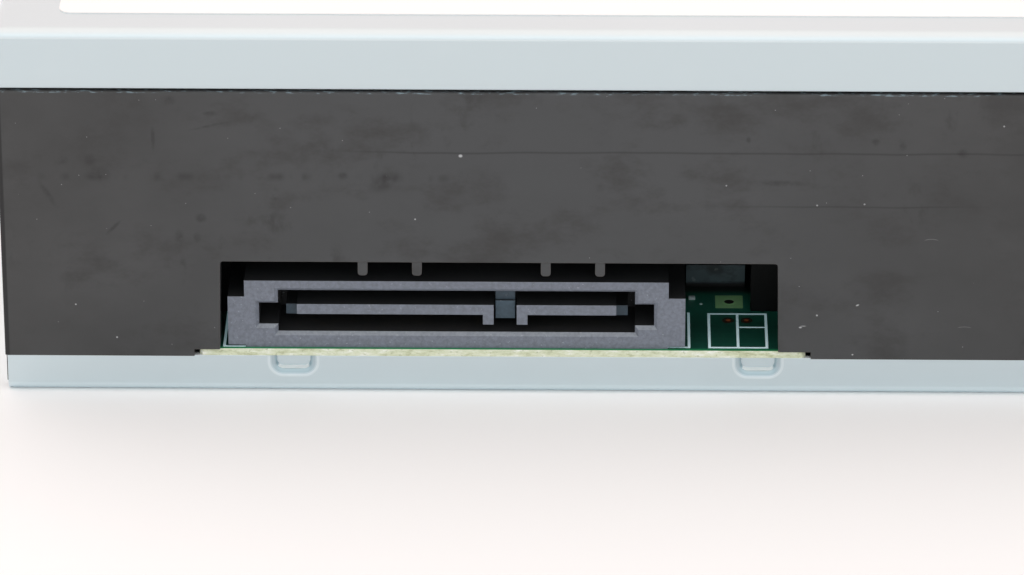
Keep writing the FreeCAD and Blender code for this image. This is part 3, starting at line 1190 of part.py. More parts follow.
def pickup_cover():
    """Thin lid round the lens carrier."""
    y0 = SLED_Y + 1
    lid = slab(-11, 11, y0, y0 + 16, 21.0, 25.4, 1.5)
    inner = box(-10.2, 10.2, y0 + 0.8, y0 + 15.2, 20.0, 24.8)
    window = slab(-6.5, 6.5, y0 + 1.0, y0 + 13.0, 20, 30, 1.0)
    return lowered(carve(lid, inner, window))


def pickup_rack():
    """Arm with a toothed shoe that rides in the thread of the feed screw."""
    arm = box(RAIL_X + 4, SCREW_X - SCREW_R - RUN - FIT, SHOE_Y, SHOE_Y + SHOE_LONG,
              RAIL_Z - 1.5, RAIL_Z + 2.0)
    ribs = []
    for k in range(4):
        y = SHOE_Y + 0.8 + 1.6 * k
        ribs.append(box(SCREW_X - 2.6, SCREW_X - 2.0, y, y + 0.8, RAIL_Z + 1.5, RAIL_Z + 3))
    return lowered(join(arm, *ribs))


def lens_carrier():
    """Moving frame of the lens, hung on fine wires."""
    y = SLED_Y + LENS_Y
    body = slab(-5.8, 5.8, y - 5.2, y + 4.6, 22.0, 26.2, 1.0)
    coils = [box(side * 5.8 - 0.3, side * 5.8 + 0.3, y - 3, y + 3, 22.5, 24.5) for side in SIDES]
    return lowered(carve(join(body, *coils), post(0, y, 20, 30, 2.6), post(0, y, 25.4, 30, 3.4)))


def lens():
    """Moulded lens: a stem in the carrier, a flat rim and a steep dome."""
    y = SLED_Y + LENS_Y
    rim_r, rim_z, dome_r, ball = 3.3, 25.9, 2.2, 4.0
    middle = rim_z + 1.0 - ball
    bow = [V(r, y, middle + math.sqrt(ball * ball - r * r)) for r in (dome_r, dome_r / 2, 0)]
    line = [V(0, y, 24.6), V(2.55, y, 24.6), V(2.55, y, 25.4), V(rim_r, y, 25.4), V(rim_r, y, rim_z),
            V(dome_r, y, rim_z), bow[0]]
    edges = [Part.makeLine(p, q) for p, q in zip(line, line[1:])]
    edges += [Part.Arc(*bow).toShape(), Part.makeLine(bow[2], line[0])]
    return lowered(Part.Face(Part.Wire(edges)).revolve(V(0, y, 0), V(0, 0, 1), 360))


def clamp_bridge():
    """Steel strap over the tray that carries the disc clamp."""
    half = CHASSIS_HALF
    y0 = DISC_Y - BRIDGE_LONG / 2
    strap = slab(-half, half, y0, y0 + BRIDGE_LONG, WALL_TOP, WALL_TOP + BRIDGE, 2.0)
    edges = [box(-60, 60, y, y + BRIDGE, WALL_TOP, WALL_TOP + 3.4) for y in (y0, y0 + BRIDGE_LONG - BRIDGE)]
    tools = [post(0, DISC_Y, 0, 60, CLAMP_R + 1.0)]
    tools += [post(x, y, 0, 60, BRIDGE_SCREW_R + 3 * RUN) for x, y in BRIDGE_SCREWS]
    for side in SIDES:
        x0, x1 = sorted((side * 30, side * 54))
        tools.append(slab(x0, x1, DISC_Y - 9, DISC_Y + 9, 0, 60, 4.0))
    return carve(join(strap, *edges), *tools)


def bridge_screws():
    face = WALL_TOP + BRIDGE
    return group(*[screw(x, y, face, 1.3, 0.9, BRIDGE_SCREW_R, 4.5, -1) for x, y in BRIDGE_SCREWS])


def disc_clamp():
    """Free-running puck that holds the disc on the table."""
    top = WALL_TOP + BRIDGE + FIT
    puck = post(0, DISC_Y, 31.6, top + 0.5, CLAMP_R)
    puck = soften(puck, 0.6, lambda c: c.z < 31.61)
    flange = post(0, DISC_Y, top, top + 1.3, CLAMP_FLANGE_R)
    return carve(join(puck, flange), post(0, DISC_Y, 31, 33.4, 8.4), post(0, DISC_Y, top - 0.4, top + 2, 9.0))


def clamp_magnet():
    """Steel-backed magnet ring in the puck."""
    top = WALL_TOP + BRIDGE + FIT
    ring = post(0, DISC_Y, top - 0.4, top + 1.8, 9.0 - RUN)
    return carve(ring, post(0, DISC_Y, 0, 60, 3.0))


NODES = (
    top_cover, label, bottom_cover, cover_screws, main_chassis, main_board, board_screws, socket_shell,
    power_pins, data_pins, controller_chip, driver_chip, memory_chip, capacitors, cable_sockets, front_cable,
    front_board, switch_body, switch_plunger, indicator_lamp, light_pipe, front_bezel, eject_button,
    disc_tray, tray_door, drive_gear, pulley_gear, motor_pulley, belt, loading_motor, cam_slider, lift_frame,
    dampers, damper_screws, pickup_deck, guide_rails, spindle_base, turntable, table_pad, centring_hub,
    feed_bracket, feed_motor, feed_screw, pickup_body, pickup_cover, pickup_rack, lens_carrier, lens,
    clamp_bridge, bridge_screws, disc_clamp, clamp_magnet,
)

os.makedirs("parts", exist_ok=True)
for make in NODES:
    make().exportStep("parts/" + make.__name__ + ".step")
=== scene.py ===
# %% [markdown]
# # A disc drive seen from behind
# This lesson dresses a half-height disc drive whose shape comes from CAD.
# The picture looks at the rear: a pale steel cover, a dark moulded wall and a plug in a window.
# The CAD pieces keep their shape, so most of the work is finishes, light and the small things on the board.

# %% Load the drive
import json
import math
import bpy
from mathutils import Matrix, Vector


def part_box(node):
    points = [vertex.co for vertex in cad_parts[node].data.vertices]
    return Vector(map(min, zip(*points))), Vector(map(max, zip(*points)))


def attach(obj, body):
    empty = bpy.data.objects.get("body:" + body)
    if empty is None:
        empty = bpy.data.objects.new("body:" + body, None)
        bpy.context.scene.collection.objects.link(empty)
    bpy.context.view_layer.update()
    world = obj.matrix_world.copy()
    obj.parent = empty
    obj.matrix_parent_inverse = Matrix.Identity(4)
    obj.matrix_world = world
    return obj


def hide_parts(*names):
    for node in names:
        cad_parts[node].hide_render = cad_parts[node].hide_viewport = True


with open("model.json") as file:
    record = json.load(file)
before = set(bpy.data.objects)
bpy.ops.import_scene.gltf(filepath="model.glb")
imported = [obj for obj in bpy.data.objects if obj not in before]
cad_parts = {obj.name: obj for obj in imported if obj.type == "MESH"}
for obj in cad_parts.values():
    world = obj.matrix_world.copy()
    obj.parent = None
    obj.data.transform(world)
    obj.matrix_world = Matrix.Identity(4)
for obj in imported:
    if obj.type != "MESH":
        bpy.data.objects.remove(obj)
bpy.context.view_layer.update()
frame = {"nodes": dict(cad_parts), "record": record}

nodes = frame["nodes"]
MM = 0.001

# %% [markdown]
# ## The camera
# The drive was photographed from behind and above with a long lens, so its edges stay nearly parallel.
# A camera can be placed by eye, but here its place, tilt and lens were worked out from known edges.
# Three directions make its matrix: right, up, and away from the view.

# %% Camera
WIDE_PX = 1024
FOCAL_PX = 6400
EYE = Vector((10.0, 684.46, 302.98)) * MM
elevation, yaw, roll = (math.radians(a) for a in (25.85, 0.944, -0.119))
along = math.cos(elevation)
ahead = Vector((math.sin(yaw) * along, -math.cos(yaw) * along, -math.sin(elevation)))
level = ahead.cross(Vector((0, 0, 1))).normalized()
rise = level.cross(ahead)
right = level * math.cos(roll) + rise * math.sin(roll)
up = rise * math.cos(roll) - level * math.sin(roll)
lens = bpy.data.cameras.new("camera")
lens.lens = FOCAL_PX / WIDE_PX * lens.sensor_width
camera = bpy.data.objects.new("camera", lens)
bpy.context.collection.objects.link(camera)
turn = Matrix((right, up, -ahead)).transposed().to_4x4()
camera.matrix_world = Matrix.Translation(EYE) @ turn
bpy.context.scene.camera = camera
print("lens", round(lens.lens, 1), "mm")

# %% [markdown]
# ## Sums in a finish
# A finish is a small network of nodes, which is slow to wire one link at a time.
# This class stands for one output, so that plain sums such as 1 - mask add their own Math nodes.
# Every other node comes from one method, which sets the node's choices before it fills the sockets.

# %% Wires
class Wire:
    """One output in a finish."""

    def __init__(self, tree, socket):
        self.tree, self.socket = tree, socket

    def node(self, kind, choices=None, sockets=None, out=0):
        made = self.tree.nodes.new(kind)
        for key, value in (choices or {}).items():
            if key == "stops":
                ramp = made.color_ramp.elements
                while len(ramp) < len(value):
                    ramp.new(1.0)
                for stop, (place, colour) in zip(ramp, value):
                    stop.position, stop.color = place, (*colour, 1)
            else:
                setattr(made, key, value)
        for key, value in (sockets or {}).items():
            plug_in(self.tree, made.inputs[key], value)
        return Wire(self.tree, made.outputs[out])

    def math(self, operation, a, b=0.0, c=0.0):
        return self.node("ShaderNodeMath", {"operation": operation}, {0: a, 1: b, 2: c})

    def __add__(self, other):
        return self.math("ADD", self, other)

    def __sub__(self, other):
        return self.math("SUBTRACT", self, other)

    def __rsub__(self, other):
        return self.math("SUBTRACT", other, self)

    def __mul__(self, other):
        return self.math("MULTIPLY", self, other)

    def __truediv__(self, other):
        return self.math("DIVIDE", self, other)

    def __gt__(self, other):
        return self.math("GREATER_THAN", self, other)

    def __lt__(self, other):
        return self.math("LESS_THAN", self, other)

    def __abs__(self):
        return self.math("ABSOLUTE", self)

    __radd__, __rmul__ = __add__, __mul__

    def part(self, axis):
        """One of the three numbers of a vector."""
        return self.node("ShaderNodeSeparateXYZ", None, {0: self}, "XYZ".index(axis))

    def band(self, low, high):
        """0 below low, 1 above high, smooth between."""
        return self.node("ShaderNodeMapRange", {"interpolation_type": "SMOOTHSTEP"},
                         {0: self, 1: low, 2: high})

    def noise(self, scale, detail=3.0, stretch=(1, 1, 1), rough=0.5):
        """Cloudy values about 0.5; stretch is how much finer it is along each axis."""
        spread = self.node("ShaderNodeMapping", None, {"Vector": self, "Scale": stretch})
        return self.node("ShaderNodeTexNoise", None,
                         {"Vector": spread, "Scale": scale, "Detail": detail, "Roughness": rough})

    def blend(self, first, second):
        """A colour that goes from first to second as this value goes from 0 to 1."""
        return self.node("ShaderNodeMix", {"data_type": "RGBA", "clamp_factor": True},
                         {0: self, 6: colour4(first), 7: colour4(second)}, 2)


def colour4(value):
    return value if isinstance(value, Wire) else (*value, 1)


def plug_in(tree, socket, value):
    """Link a wire to a socket, or set the socket to a plain value."""
    if isinstance(value, Wire):
        tree.links.new(value.socket, socket)
    else:
        socket.default_value = value


def start(name):
    """A new finish, with its place on the piece as the first wire."""
    made = bpy.data.materials.new(name)
    made.use_nodes = True
    tree = made.node_tree
    return made, Wire(tree, tree.nodes.new("ShaderNodeTexCoord").outputs["Object"])


def shade(made, **sockets):
    """Fill the sockets of the finish's shader; an underscore stands for a space."""
    shader = made.node_tree.nodes["Principled BSDF"]
    for key, value in sockets.items():
        plug_in(made.node_tree, shader.inputs[key.replace("_", " ")], value)
    return made


def relief(at, height, depth, round_mm=0.0, strength=1.0):
    """A normal with fine relief, and edges that look rounded by round_mm."""
    sockets = {"Height": height, "Distance": depth, "Strength": strength}
    if round_mm:
        sockets["Normal"] = at.node("ShaderNodeBevel", {"samples": 4}, {"Radius": round_mm * MM})
    return at.node("ShaderNodeBump", None, sockets)


def worn(at, round_mm):
    """1 on sharp outer edges, 0 on flat faces."""
    soft = at.node("ShaderNodeBevel", {"samples": 4}, {"Radius": round_mm * MM})
    plain = at.node("ShaderNodeNewGeometry", None, None, "Normal")
    same = at.node("ShaderNodeVectorMath", {"operation": "DOT_PRODUCT"}, {0: soft, 1: plain}, "Value")
    return (1 - same).band(0.01, 0.12)


def facing(at):
    """The direction of the surface in the piece's own axes."""
    return Wire(at.tree, at.socket.node.outputs["Normal"])


def specks(at, per_mm, size_mm, share):
    """Sparse round specks: one cell in every few holds one."""
    cells = {"Vector": at, "Scale": per_mm / MM}
    near = at.node("ShaderNodeTexVoronoi", None, cells, "Distance")
    draw = at.node("ShaderNodeTexVoronoi", None, cells, "Color")
    return (near < size_mm * per_mm) * (draw.part("X") < share)


finishes = {}
print("wires ready")

# %% [markdown]
# ## Light and floor
# The picture is high-key: a white floor in a tent of soft light, a touch cooler on the camera's side.
# Lamps alone would leave hot spots on the steel, so the sky is the tent and one panel adds a little shape.
# The sky's tint follows the direction: warm white above and beyond the drive, cooler behind the camera.
# Low on the camera's side it is darker, as a room is below a tent, which draws the dents in the steel.
# The plain colour transform keeps white paper white.

# %% Light
scene = bpy.context.scene
scene.view_settings.view_transform = "Standard"
studio = bpy.data.worlds.new("studio")
studio.use_nodes = True
scene.world = studio
tent = studio.node_tree
toward = Wire(tent, tent.nodes.new("ShaderNodeTexCoord").outputs["Generated"])
BEYOND, OVERHEAD = (1.13, 1.02, 1.00), (1.15, 1.05, 1.01)
LOW_NEAR, HIGH_NEAR = (0.72, 0.77, 0.81), (1.24, 1.27, 1.29)
SKY_STRENGTH = 0.98
camera_side = toward.part("Y").band(-0.2, 0.6)
lifted = toward.part("Z").band(0.02, 0.40)
above = toward.part("Z").band(0.55, 0.95)
near = lifted.blend(LOW_NEAR, HIGH_NEAR)
tint = above.blend(camera_side.blend(BEYOND, near), OVERHEAD)
sky = tent.nodes["Background"].inputs
plug_in(tent, sky["Color"], tint)
sky["Strength"].default_value = SKY_STRENGTH
print("tent")

# %% Panel
PANEL_SIZE, PANEL_WATTS, PANEL_COLOUR = (1.8, 1.4), 1.0, (1.0, 0.985, 0.965)


def panel_light(name, place, aim, size, watts, colour):
    """A rectangular soft light that faces a point."""
    data = bpy.data.lights.new(name, "AREA")
    data.shape, data.size, data.size_y = "RECTANGLE", *size
    data.energy, data.color = watts, colour
    lamp = bpy.data.objects.new(name, data)
    lamp.location = place
    lamp.rotation_euler = (Vector(aim) - Vector(place)).to_track_quat("-Z", "Y").to_euler()
    bpy.context.collection.objects.link(lamp)


panel_light("overhead", (0.0, 0.15, 1.3), (0, 0.05, 0), PANEL_SIZE, PANEL_WATTS, PANEL_COLOUR)
print("one panel,", PANEL_WATTS, "watts")

# %% [markdown]
# ## Floor
# A white sweep of paper shows almost nothing but the soft shade round the drive.
# A single colour would do, but a slight cloud keeps it from looking cut out.
# The paper is lit from below as well, as on a light table, so that it stays white beside the dark wall.

# %% Floor
def deselect():
    """Leave nothing selected, so that the next operator acts only on its own piece."""
    if bpy.context.mode != "OBJECT":
        bpy.ops.object.mode_set(mode="OBJECT")
    bpy.ops.object.select_all(action="DESELECT")


FLOOR_WIDE, FLOOR_GAP, FLOOR_GLOW = 8, 0.02 * MM, 0.06
deselect()
bpy.ops.mesh.primitive_plane_add(size=FLOOR_WIDE, location=(0, 0, -FLOOR_GAP))
floor = bpy.context.object
floor.name = "floor"
bpy.ops.object.transform_apply(location=True, rotation=True, scale=True)
made, at = start("floor_paper")
pale = at.noise(3, 2).blend((0.915, 0.91, 0.905), (0.935, 0.93, 0.925))
floor.data.materials.append(shade(made, Base_Color=pale, Roughness=0.8, Specular_IOR_Level=0.2,
                                  Emission_Color=(0.97, 1.0, 1.0, 1), Emission_Strength=FLOOR_GLOW))
print("floor finished")

# %% [markdown]
# ## Zinc-coated steel
# The cover and the floor are folded from pre-coated sheet: pale, dull and a little bluish.
# Mirror-like metal would show the whole room, so the shine is broad, with a fine rolled grain.
# Cut edges and folds are rubbed brighter, which a mask from rounded and plain normals finds.
# Where the two dents were pressed, the surface's lean picks out painted reflections: darker slopes and a
# pale rim.
# The lower inner corner of each dent gets a bright painted highlight.

# %% Steel sheet
COAT, COAT_PALE = (0.68, 0.75, 0.77), (0.745, 0.81, 0.83)
LOW_REFLECTION_BLUE, REAR_PAINTED_SHADE, RUBBED = (0.64, 0.77, 0.825), (0.52, 0.62, 0.66), (0.90, 0.91, 0.915)
made, at = start("zinc_steel")
rolled = at.noise(2600, 3, (0.25, 1, 1))
cloud = at.noise(38, 4)
touch = at.noise(120, 5, rough=0.65).band(0.56, 0.75)
height = at.part("Z") / MM
upper = height.band(4.4, 6.0)
at_rear = at.part("Y") / MM > 83
lean = 1 - abs(facing(at).part("Y"))
upright = (1 - lean.band(0.001, 0.02)) * at_rear
coat = (cloud * 0.7 + rolled * 0.3).blend(COAT, COAT_PALE)
# The lowest steel is painted bluer: a painted reflection of the shaded floor near the drive.
coat = (0.5 - upper * 0.5).blend(coat, LOW_REFLECTION_BLUE)
# Upright rear faces are painted greyer, the upper flange most: painted shade where the flanges reflect the
# floor.
coat = (upright * (0.3 + upper * 0.42)).blend(coat, REAR_PAINTED_SHADE)
coat = (worn(at, 0.12) * 0.4).blend(coat, RUBBED)
print("coat of the steel")

# %% Dents in the steel
DENT_SIDE_SHADE, DENT_FLOOR_SHADE = (0.44, 0.54, 0.585), (0.34, 0.45, 0.49)
DENT_RIM_HIGHLIGHT, DENT_CORNER_HIGHLIGHT = (0.84, 0.91, 0.935), (0.93, 0.96, 0.97)
upward = facing(at).part("Z")
on_flange = at_rear * height.band(1.3, 1.6) * (1 - height.band(4.35, 4.5))
dent_slope_shade = lean.band(0.015, 0.06) * on_flange
dent_rim_highlight = lean.band(0.0001, 0.006) * (1 - lean.band(0.012, 0.045)) * on_flange
dent_corner_highlight = lean.band(0.35, 0.5) * upward.band(0.5, 0.8) * on_flange
# Painted reflections: the slopes are painted darker, upward ones most, the rim a pale painted highlight,
# the inner corner a bright one.
coat = (dent_slope_shade * 0.8).blend(coat, upward.band(0.05, 0.35).blend(DENT_SIDE_SHADE, DENT_FLOOR_SHADE))
coat = (dent_rim_highlight * 0.35).blend(coat, DENT_RIM_HIGHLIGHT)
coat = dent_corner_highlight.blend(coat, DENT_CORNER_HIGHLIGHT)
finishes["zinc_steel"] = shade(
    made, Base_Color=coat, Metallic=1 - dent_corner_highlight * 0.95,
    Roughness=0.32 + cloud * 0.07 + rolled * 0.05 - touch * 0.05,
    Normal=relief(at, rolled, 0.004 * MM, 0.12, 0.35))
print("steel sheet")

# %% [markdown]
# ## Paper label
# The label is bare white coated paper. Print is left off, so its fibres and slight shine carry it.

# %% Label paper
made, at = start("label_paper")
fibre = at.noise(5200, 4, (0.4, 1, 1), 0.7)
patch = at.noise(70, 3)
finishes["paper"] = shade(
    made, Base_Color=(fibre * 0.35 + patch * 0.65).blend((0.915, 0.91, 0.895), (0.955, 0.95, 0.94)),
    Roughness=0.46 + fibre * 0.12, Normal=relief(at, fibre, 0.006 * MM, 0.05, 0.4))
print("label paper")

# %% [markdown]
# ## Dark moulding
# The rear wall is black moulded plastic with a spark-eroded grain, handled and a little dusty.
# One dark grey would look like card, so smears, finger marks, long rubs and dust lie over the grain.
# Each mark is a mask that darkens or lightens the colour, and dust also dulls the shine.

# %% Marks on the wall
def rub(at, level, left, right, wide):
    """A long faint rub along the wall, in millimetres, that wavers and fades at its ends."""
    across = at.part("X") / MM
    waver = at.noise(60, 2, (1, 0, 0)) * 0.8 - 0.4
    line = 1 - abs(at.part("Z") / MM + waver - level).band(0, wide)
    return line * across.band(right, right + 10) * (1 - across.band(left - 14, left))


def scratch(at, x, z, radius, wide, reach):
    """A short curved scratch: a piece of a circle's line, in millimetres."""
    dx = at.part("X") / MM - x
    dz = at.part("Z") / MM - z + radius
    away = at.math("SQRT", dx * dx + dz * dz) - radius
    return (1 - abs(away).band(0, wide)) * (1 - abs(dx).band(reach * 0.6, reach)) * (dz > 0)


def smudges(at, spots):
    """Soft marks, each with its place, half width, half height and slant, in millimetres."""
    across, up = at.part("X") / MM, at.part("Z") / MM
    total = 0.0
    for x, z, wide, tall, slant in spots:
        dz = up - z
        dx = (across - x - dz * slant) / wide
        dz = dz / tall
        total = total + (1 - at.math("SQRT", dx * dx + dz * dz).band(0.25, 1.0))
    return total


HANDLED = [
    (55.2, 33.6, 1.0, 0.8, 0), (56.85, 29.6, 0.3, 2.2, 0), (50.9, 32.2, 1.0, 0.4, 0),
    (51.0, 30.8, 0.9, 0.7, -3.77), (63.4, 27.0, 0.9, 1.0, 0), (62.4, 25.3, 1.6, 1.2, 0),
    (67.8, 22.8, 0.5, 1.9, 0.575), (66.4, 26.9, 1.0, 0.7, 0), (44.3, 23.1, 0.55, 1.1, 0),
    (52.1, 20.3, 0.8, 0.7, 0), (54.4, 17.9, 0.7, 1.3, 0), (52.5, 18.1, 0.6, 0.8, 0),
    (54.1, 14.4, 0.55, 2.2, 0), (61.2, 19.2, 0.4, 1.0, -0.9), (33.0, 24.6, 1.8, 1.7, -0.6),
    (37.3, 25.2, 0.7, 0.6, 0), (-7.8, 24.6, 3.6, 0.5, 1.5), (-17.6, 29.3, 0.6, 0.6, 0),
    (-20.4, 28.9, 0.55, 0.7, 0), (-26.6, 28.1, 0.8, 0.7, 0), (-4.5, 29.5, 0.35, 0.5, 0),
]
LINT = [
    (25.16, 27.54, 0.28, 0.24, 0), (-16.1, 10.65, 0.20, 0.15, -0.8), (-11.9, 9.45, 0.14, 0.14, 0),
    (-10.2, 8.04, 0.22, 0.13, 0), (-10.5, 8.2, 0.4, 0.05, 0), (65.4, 10.3, 0.12, 0.12, 0),
    (61.2, 6.5, 0.14, 0.14, 0), (33.4, 11.7, 0.13, 0.13, 0), (29.9, 20.3, 0.12, 0.12, 0),
    (-15.7, 4.9, 0.14, 0.12, 0),
]
print(len(HANDLED), "smudges and", len(LINT), "bits of lint")

# %% Masks on the wall
made, at = start("dark_plastic")
across, behind, height = (at.part(axis) / MM for axis in "XYZ")
rear = behind > 80
inside = (1 - behind.band(82.0, 82.6)) * (behind > 60) * (height < 17)
middle = 1 - abs(across - 18).band(5, 75)
ends = abs(across).band(72.4, 72.6)
pores = at.noise(3600, 2)
cloud = at.noise(40, 5, (1, 1, 1.5), 0.62)
smear = at.noise(120, 5, (0.8, 1, 1.3), 0.68).band(0.47, 0.70)
fingers = at.noise(230, 4, (1.4, 1, 0.8), 0.62).band(0.58, 0.76) * at.noise(28, 2).band(0.40, 0.60)
rubs = rub(at, 27.95, 42, -100, 0.2) * 0.8 + rub(at, 21.92, 2, -32, 0.18) * 0.7
dots = rub(at, 25.02, 76, 20, 0.7) * at.noise(420, 2, (1, 0, 0)).band(0.46, 0.66)
ragged = at.noise(420, 4, rough=0.65).band(0.30, 0.62)
handled = smudges(at, HANDLED) * ragged * rear
scratches = scratch(at, -23.6, 18.3, 2.0, 0.07, 0.8) + scratch(at, -27.3, 8.2, 3.0, 0.06, 0.8)
dust = specks(at, 0.42, 0.10, 0.12) * 0.35 + specks(at, 1.1, 0.05, 0.12) * 0.3
dust = dust + scratches * rear * 0.14 + smudges(at, LINT) * rear * 0.6
top_flecks = at.noise(2600, 3, (0.4, 1, 1), 0.7).band(0.52, 0.66) * facing(at).part("Z").band(0.3, 0.7) * rear
print("masks for smears, rubs and dust")

# %% Dark plastic
DARK, PALER, LIT = (0.024, 0.024, 0.023), (0.050, 0.050, 0.050), (0.055, 0.059, 0.063)
SMEARED, FINGERED, RUBBED_IN = (0.026, 0.026, 0.026), (0.020, 0.020, 0.020), (0.012, 0.012, 0.013)
WORN_EDGE, END_SHADE, IN_SHADE = (0.14, 0.122, 0.108), (0.005, 0.005, 0.006), (0.004, 0.005, 0.005)
TOP_FLECK_BLUE, DUST = (0.30, 0.42, 0.48), (0.66, 0.67, 0.68)
base = cloud.band(0.25, 0.75).blend(DARK, PALER)
base = (middle * 0.65).blend(base, LIT)
base = (smear * (0.25 + rear * 0.6)).blend(base, SMEARED)
base = (fingers * (0.2 + rear * 0.45)).blend(base, FINGERED)
base = (handled * 0.6 + (rubs * 0.7 + dots * 0.55) * rear).blend(base, RUBBED_IN)
base = (worn(at, 0.18) * 0.35).blend(base, WORN_EDGE)
# The wall's ends are painted near black: painted shade in the gap beside the side sheet.
base = (ends * 0.9).blend(base, END_SHADE)
# Upward faces at the rear are flecked pale blue.
base = (top_flecks * 0.45).blend(base, TOP_FLECK_BLUE)
base = dust.blend(base, DUST)
base = (inside * 0.9).blend(base, IN_SHADE)
finishes["dark_plastic"] = shade(
    made, Base_Color=base, Metallic=inside * 0.8,
    Roughness=0.50 + cloud * 0.12 + dust * 0.2 - smear * 0.06,
    Normal=relief(at, pores, 0.012 * MM, 0.18, 0.5))
print("dark plastic")

# %% [markdown]
# ## Plug plastic
# The plug is a glass-filled moulding, nearly black. Its sawn-looking frosted front is painted grey: a
# painted reflection of the floor.
# The front is found by the surface's direction, and its grey fades to slate and black further in: painted
# shade.
# Tiny bright flecks of filler lie in the frosted front, and its upper rims are painted lighter: a painted
# highlight.

# %% Plug plastic
DEPTH_SHADE_STOPS = [
    (0.0, (0.008, 0.009, 0.010)), (0.45, (0.011, 0.015, 0.020)), (0.60, (0.023, 0.040, 0.056)),
    (0.76, (0.046, 0.076, 0.102)), (0.93, (0.120, 0.134, 0.163)),
]
FLECK, RIM_HIGHLIGHT = (0.42, 0.45, 0.49), (0.36, 0.40, 0.43)
made, at = start("plug_plastic")
to_rear = facing(at).part("Y")
depth = at.part("Y") / MM
frost = at.noise(2300, 4, rough=0.7)
flecks = at.noise(3000, 2, rough=0.7).band(0.66, 0.74)
# Further in, a ramp darkens the front's grey: painted shade inside the window.
inner = depth.node("ShaderNodeMapRange", None, {0: depth, 1: 80.2, 2: 83.6})
depth_shade = inner.node("ShaderNodeValToRGB", {"stops": DEPTH_SHADE_STOPS}, {0: inner})
pale = depth_shade.node("ShaderNodeVectorMath", {"operation": "SCALE"}, {0: depth_shade, "Scale": 1.5})
front = frost.band(0.25, 0.75).blend(depth_shade, pale)
front = (flecks * 0.55).blend(front, FLECK)
# Upward-turning rims of the front are painted lighter: a painted highlight.
rim = at.node("ShaderNodeBevel", {"samples": 4}, {"Radius": 0.07 * MM}).part("Z").band(0.10, 0.45)
front = (rim * inner.band(0.55, 0.90) * (0.1 + frost * 0.5)).blend(front, RIM_HIGHLIGHT)
skin = frost.blend((0.012, 0.013, 0.014), (0.021, 0.022, 0.024))
# Rear-facing faces take the grey front, a painted reflection; the other faces keep the near-black skin of
# the plastic.
face = to_rear.band(0.45, 0.55)
finishes["socket_plastic"] = shade(
    made, Base_Color=face.blend(skin, front), Roughness=0.42 + frost * 0.2,
    Normal=relief(at, frost, 0.02 * MM, 0.06, 0.5))
print("plug plastic")

# %% [markdown]
# ## Circuit board
# The board's faces are green mask over copper, and its cut edge is pale glass cloth in resin.
# The surface's direction tells the two apart. The edge gets short fibres along it and crumbly spots.
# On the faces, blocks at slightly different heights suggest the copper under the mask.
# Away from the plug the green is painted lighter: painted light deeper in. By the cable socket it is
# darkest: a painted shadow.
# Along the rear edge the mask is thin and bright.

# %% Board faces
BLOCKS = {"Scale": 220.0, "Color1": (1, 1, 1, 1), "Color2": (0.6, 0.6, 0.6, 1),
          "Mortar": (0, 0, 0, 1), "Mortar Size": 0.03}
GREEN, GREEN_PALE, DEEP_PAINTED_LIGHT = (0.006, 0.060, 0.040), (0.010, 0.085, 0.056), (0.016, 0.22, 0.14)
THIN_MASK, SOCKET_PAINTED_SHADOW = (0.02, 0.26, 0.10), (0.001, 0.003, 0.002)
made, at = start("circuit_board")
flat = abs(facing(at).part("Z")).band(0.4, 0.6)
behind = at.part("Y") / MM
copper = at.node("ShaderNodeTexBrick", None, {"Vector": at, **BLOCKS}, 1)
mask = (at.noise(90, 3) * 0.6 + copper * 0.4).blend(GREEN, GREEN_PALE)
# Painted light: the green is lighter deeper in the window.
mask = ((1 - behind.band(73.5, 79)) * 0.8).blend(mask, DEEP_PAINTED_LIGHT)
mask = behind.band(84.1, 84.4).blend(mask, THIN_MASK)
# Painted shadow on the board in front of and under the cable socket.
mask = ((behind > 60) * (1 - behind.band(70.0, 71.3)) * 0.95).blend(mask, SOCKET_PAINTED_SHADOW)
print("green mask")

# %% Board edge
CLOTH = [(0.32, (0.42, 0.44, 0.27)), (0.46, (0.62, 0.66, 0.47)),
         (0.58, (0.72, 0.75, 0.60)), (0.70, (0.88, 0.90, 0.84))]
CRUMB = (0.33, 0.36, 0.20)
fibres = at.noise(1150, 5, (0.55, 1, 1.6), 0.72)
crumbs = at.noise(2400, 3, (0.7, 1, 1), 0.7)
cloth = fibres.node("ShaderNodeValToRGB", {"stops": CLOTH}, {0: fibres})
cloth = (crumbs.band(0.58, 0.68) * 0.6).blend(cloth, CRUMB)
finishes["board"] = shade(
    made, Base_Color=flat.blend(cloth, mask), Roughness=0.75 - flat * 0.42 + crumbs * 0.08,
    Normal=relief(at, crumbs * (1 - flat) + copper * flat * 0.1, 0.03 * MM, 0.05, 0.6))
print("circuit board")

# %% [markdown]
# ## Metal pieces inside
# Contacts are gold plated, cans are drawn, straps are plain sheet, bars are ground and the sled is cast.
# They share one recipe: a colour with slight clouds, a varied shine, and the grain of how each is made.
# The grain's stretch gives drawn and ground metal its direction.

# %% Metals
def grey(value):
    return (value, value, value)


def metal(slot, dark, light, rough, grain, stretch, bumps, rubbed):
    """A bare or plated metal, with its own grain and rubbed edges."""
    made, at = start(slot)
    lines = at.noise(grain, 3, stretch)
    cloud = at.noise(90, 4)
    colour = (cloud * 0.6 + lines * 0.4).blend(dark, light)
    colour = (worn(at, 0.12) * 0.5).blend(colour, rubbed)
    finishes[slot] = shade(made, Base_Color=colour, Metallic=1.0,
                           Roughness=rough + cloud * 0.1 + lines * 0.08,
                           Normal=relief(at, lines, bumps * MM, 0.1, 0.4))


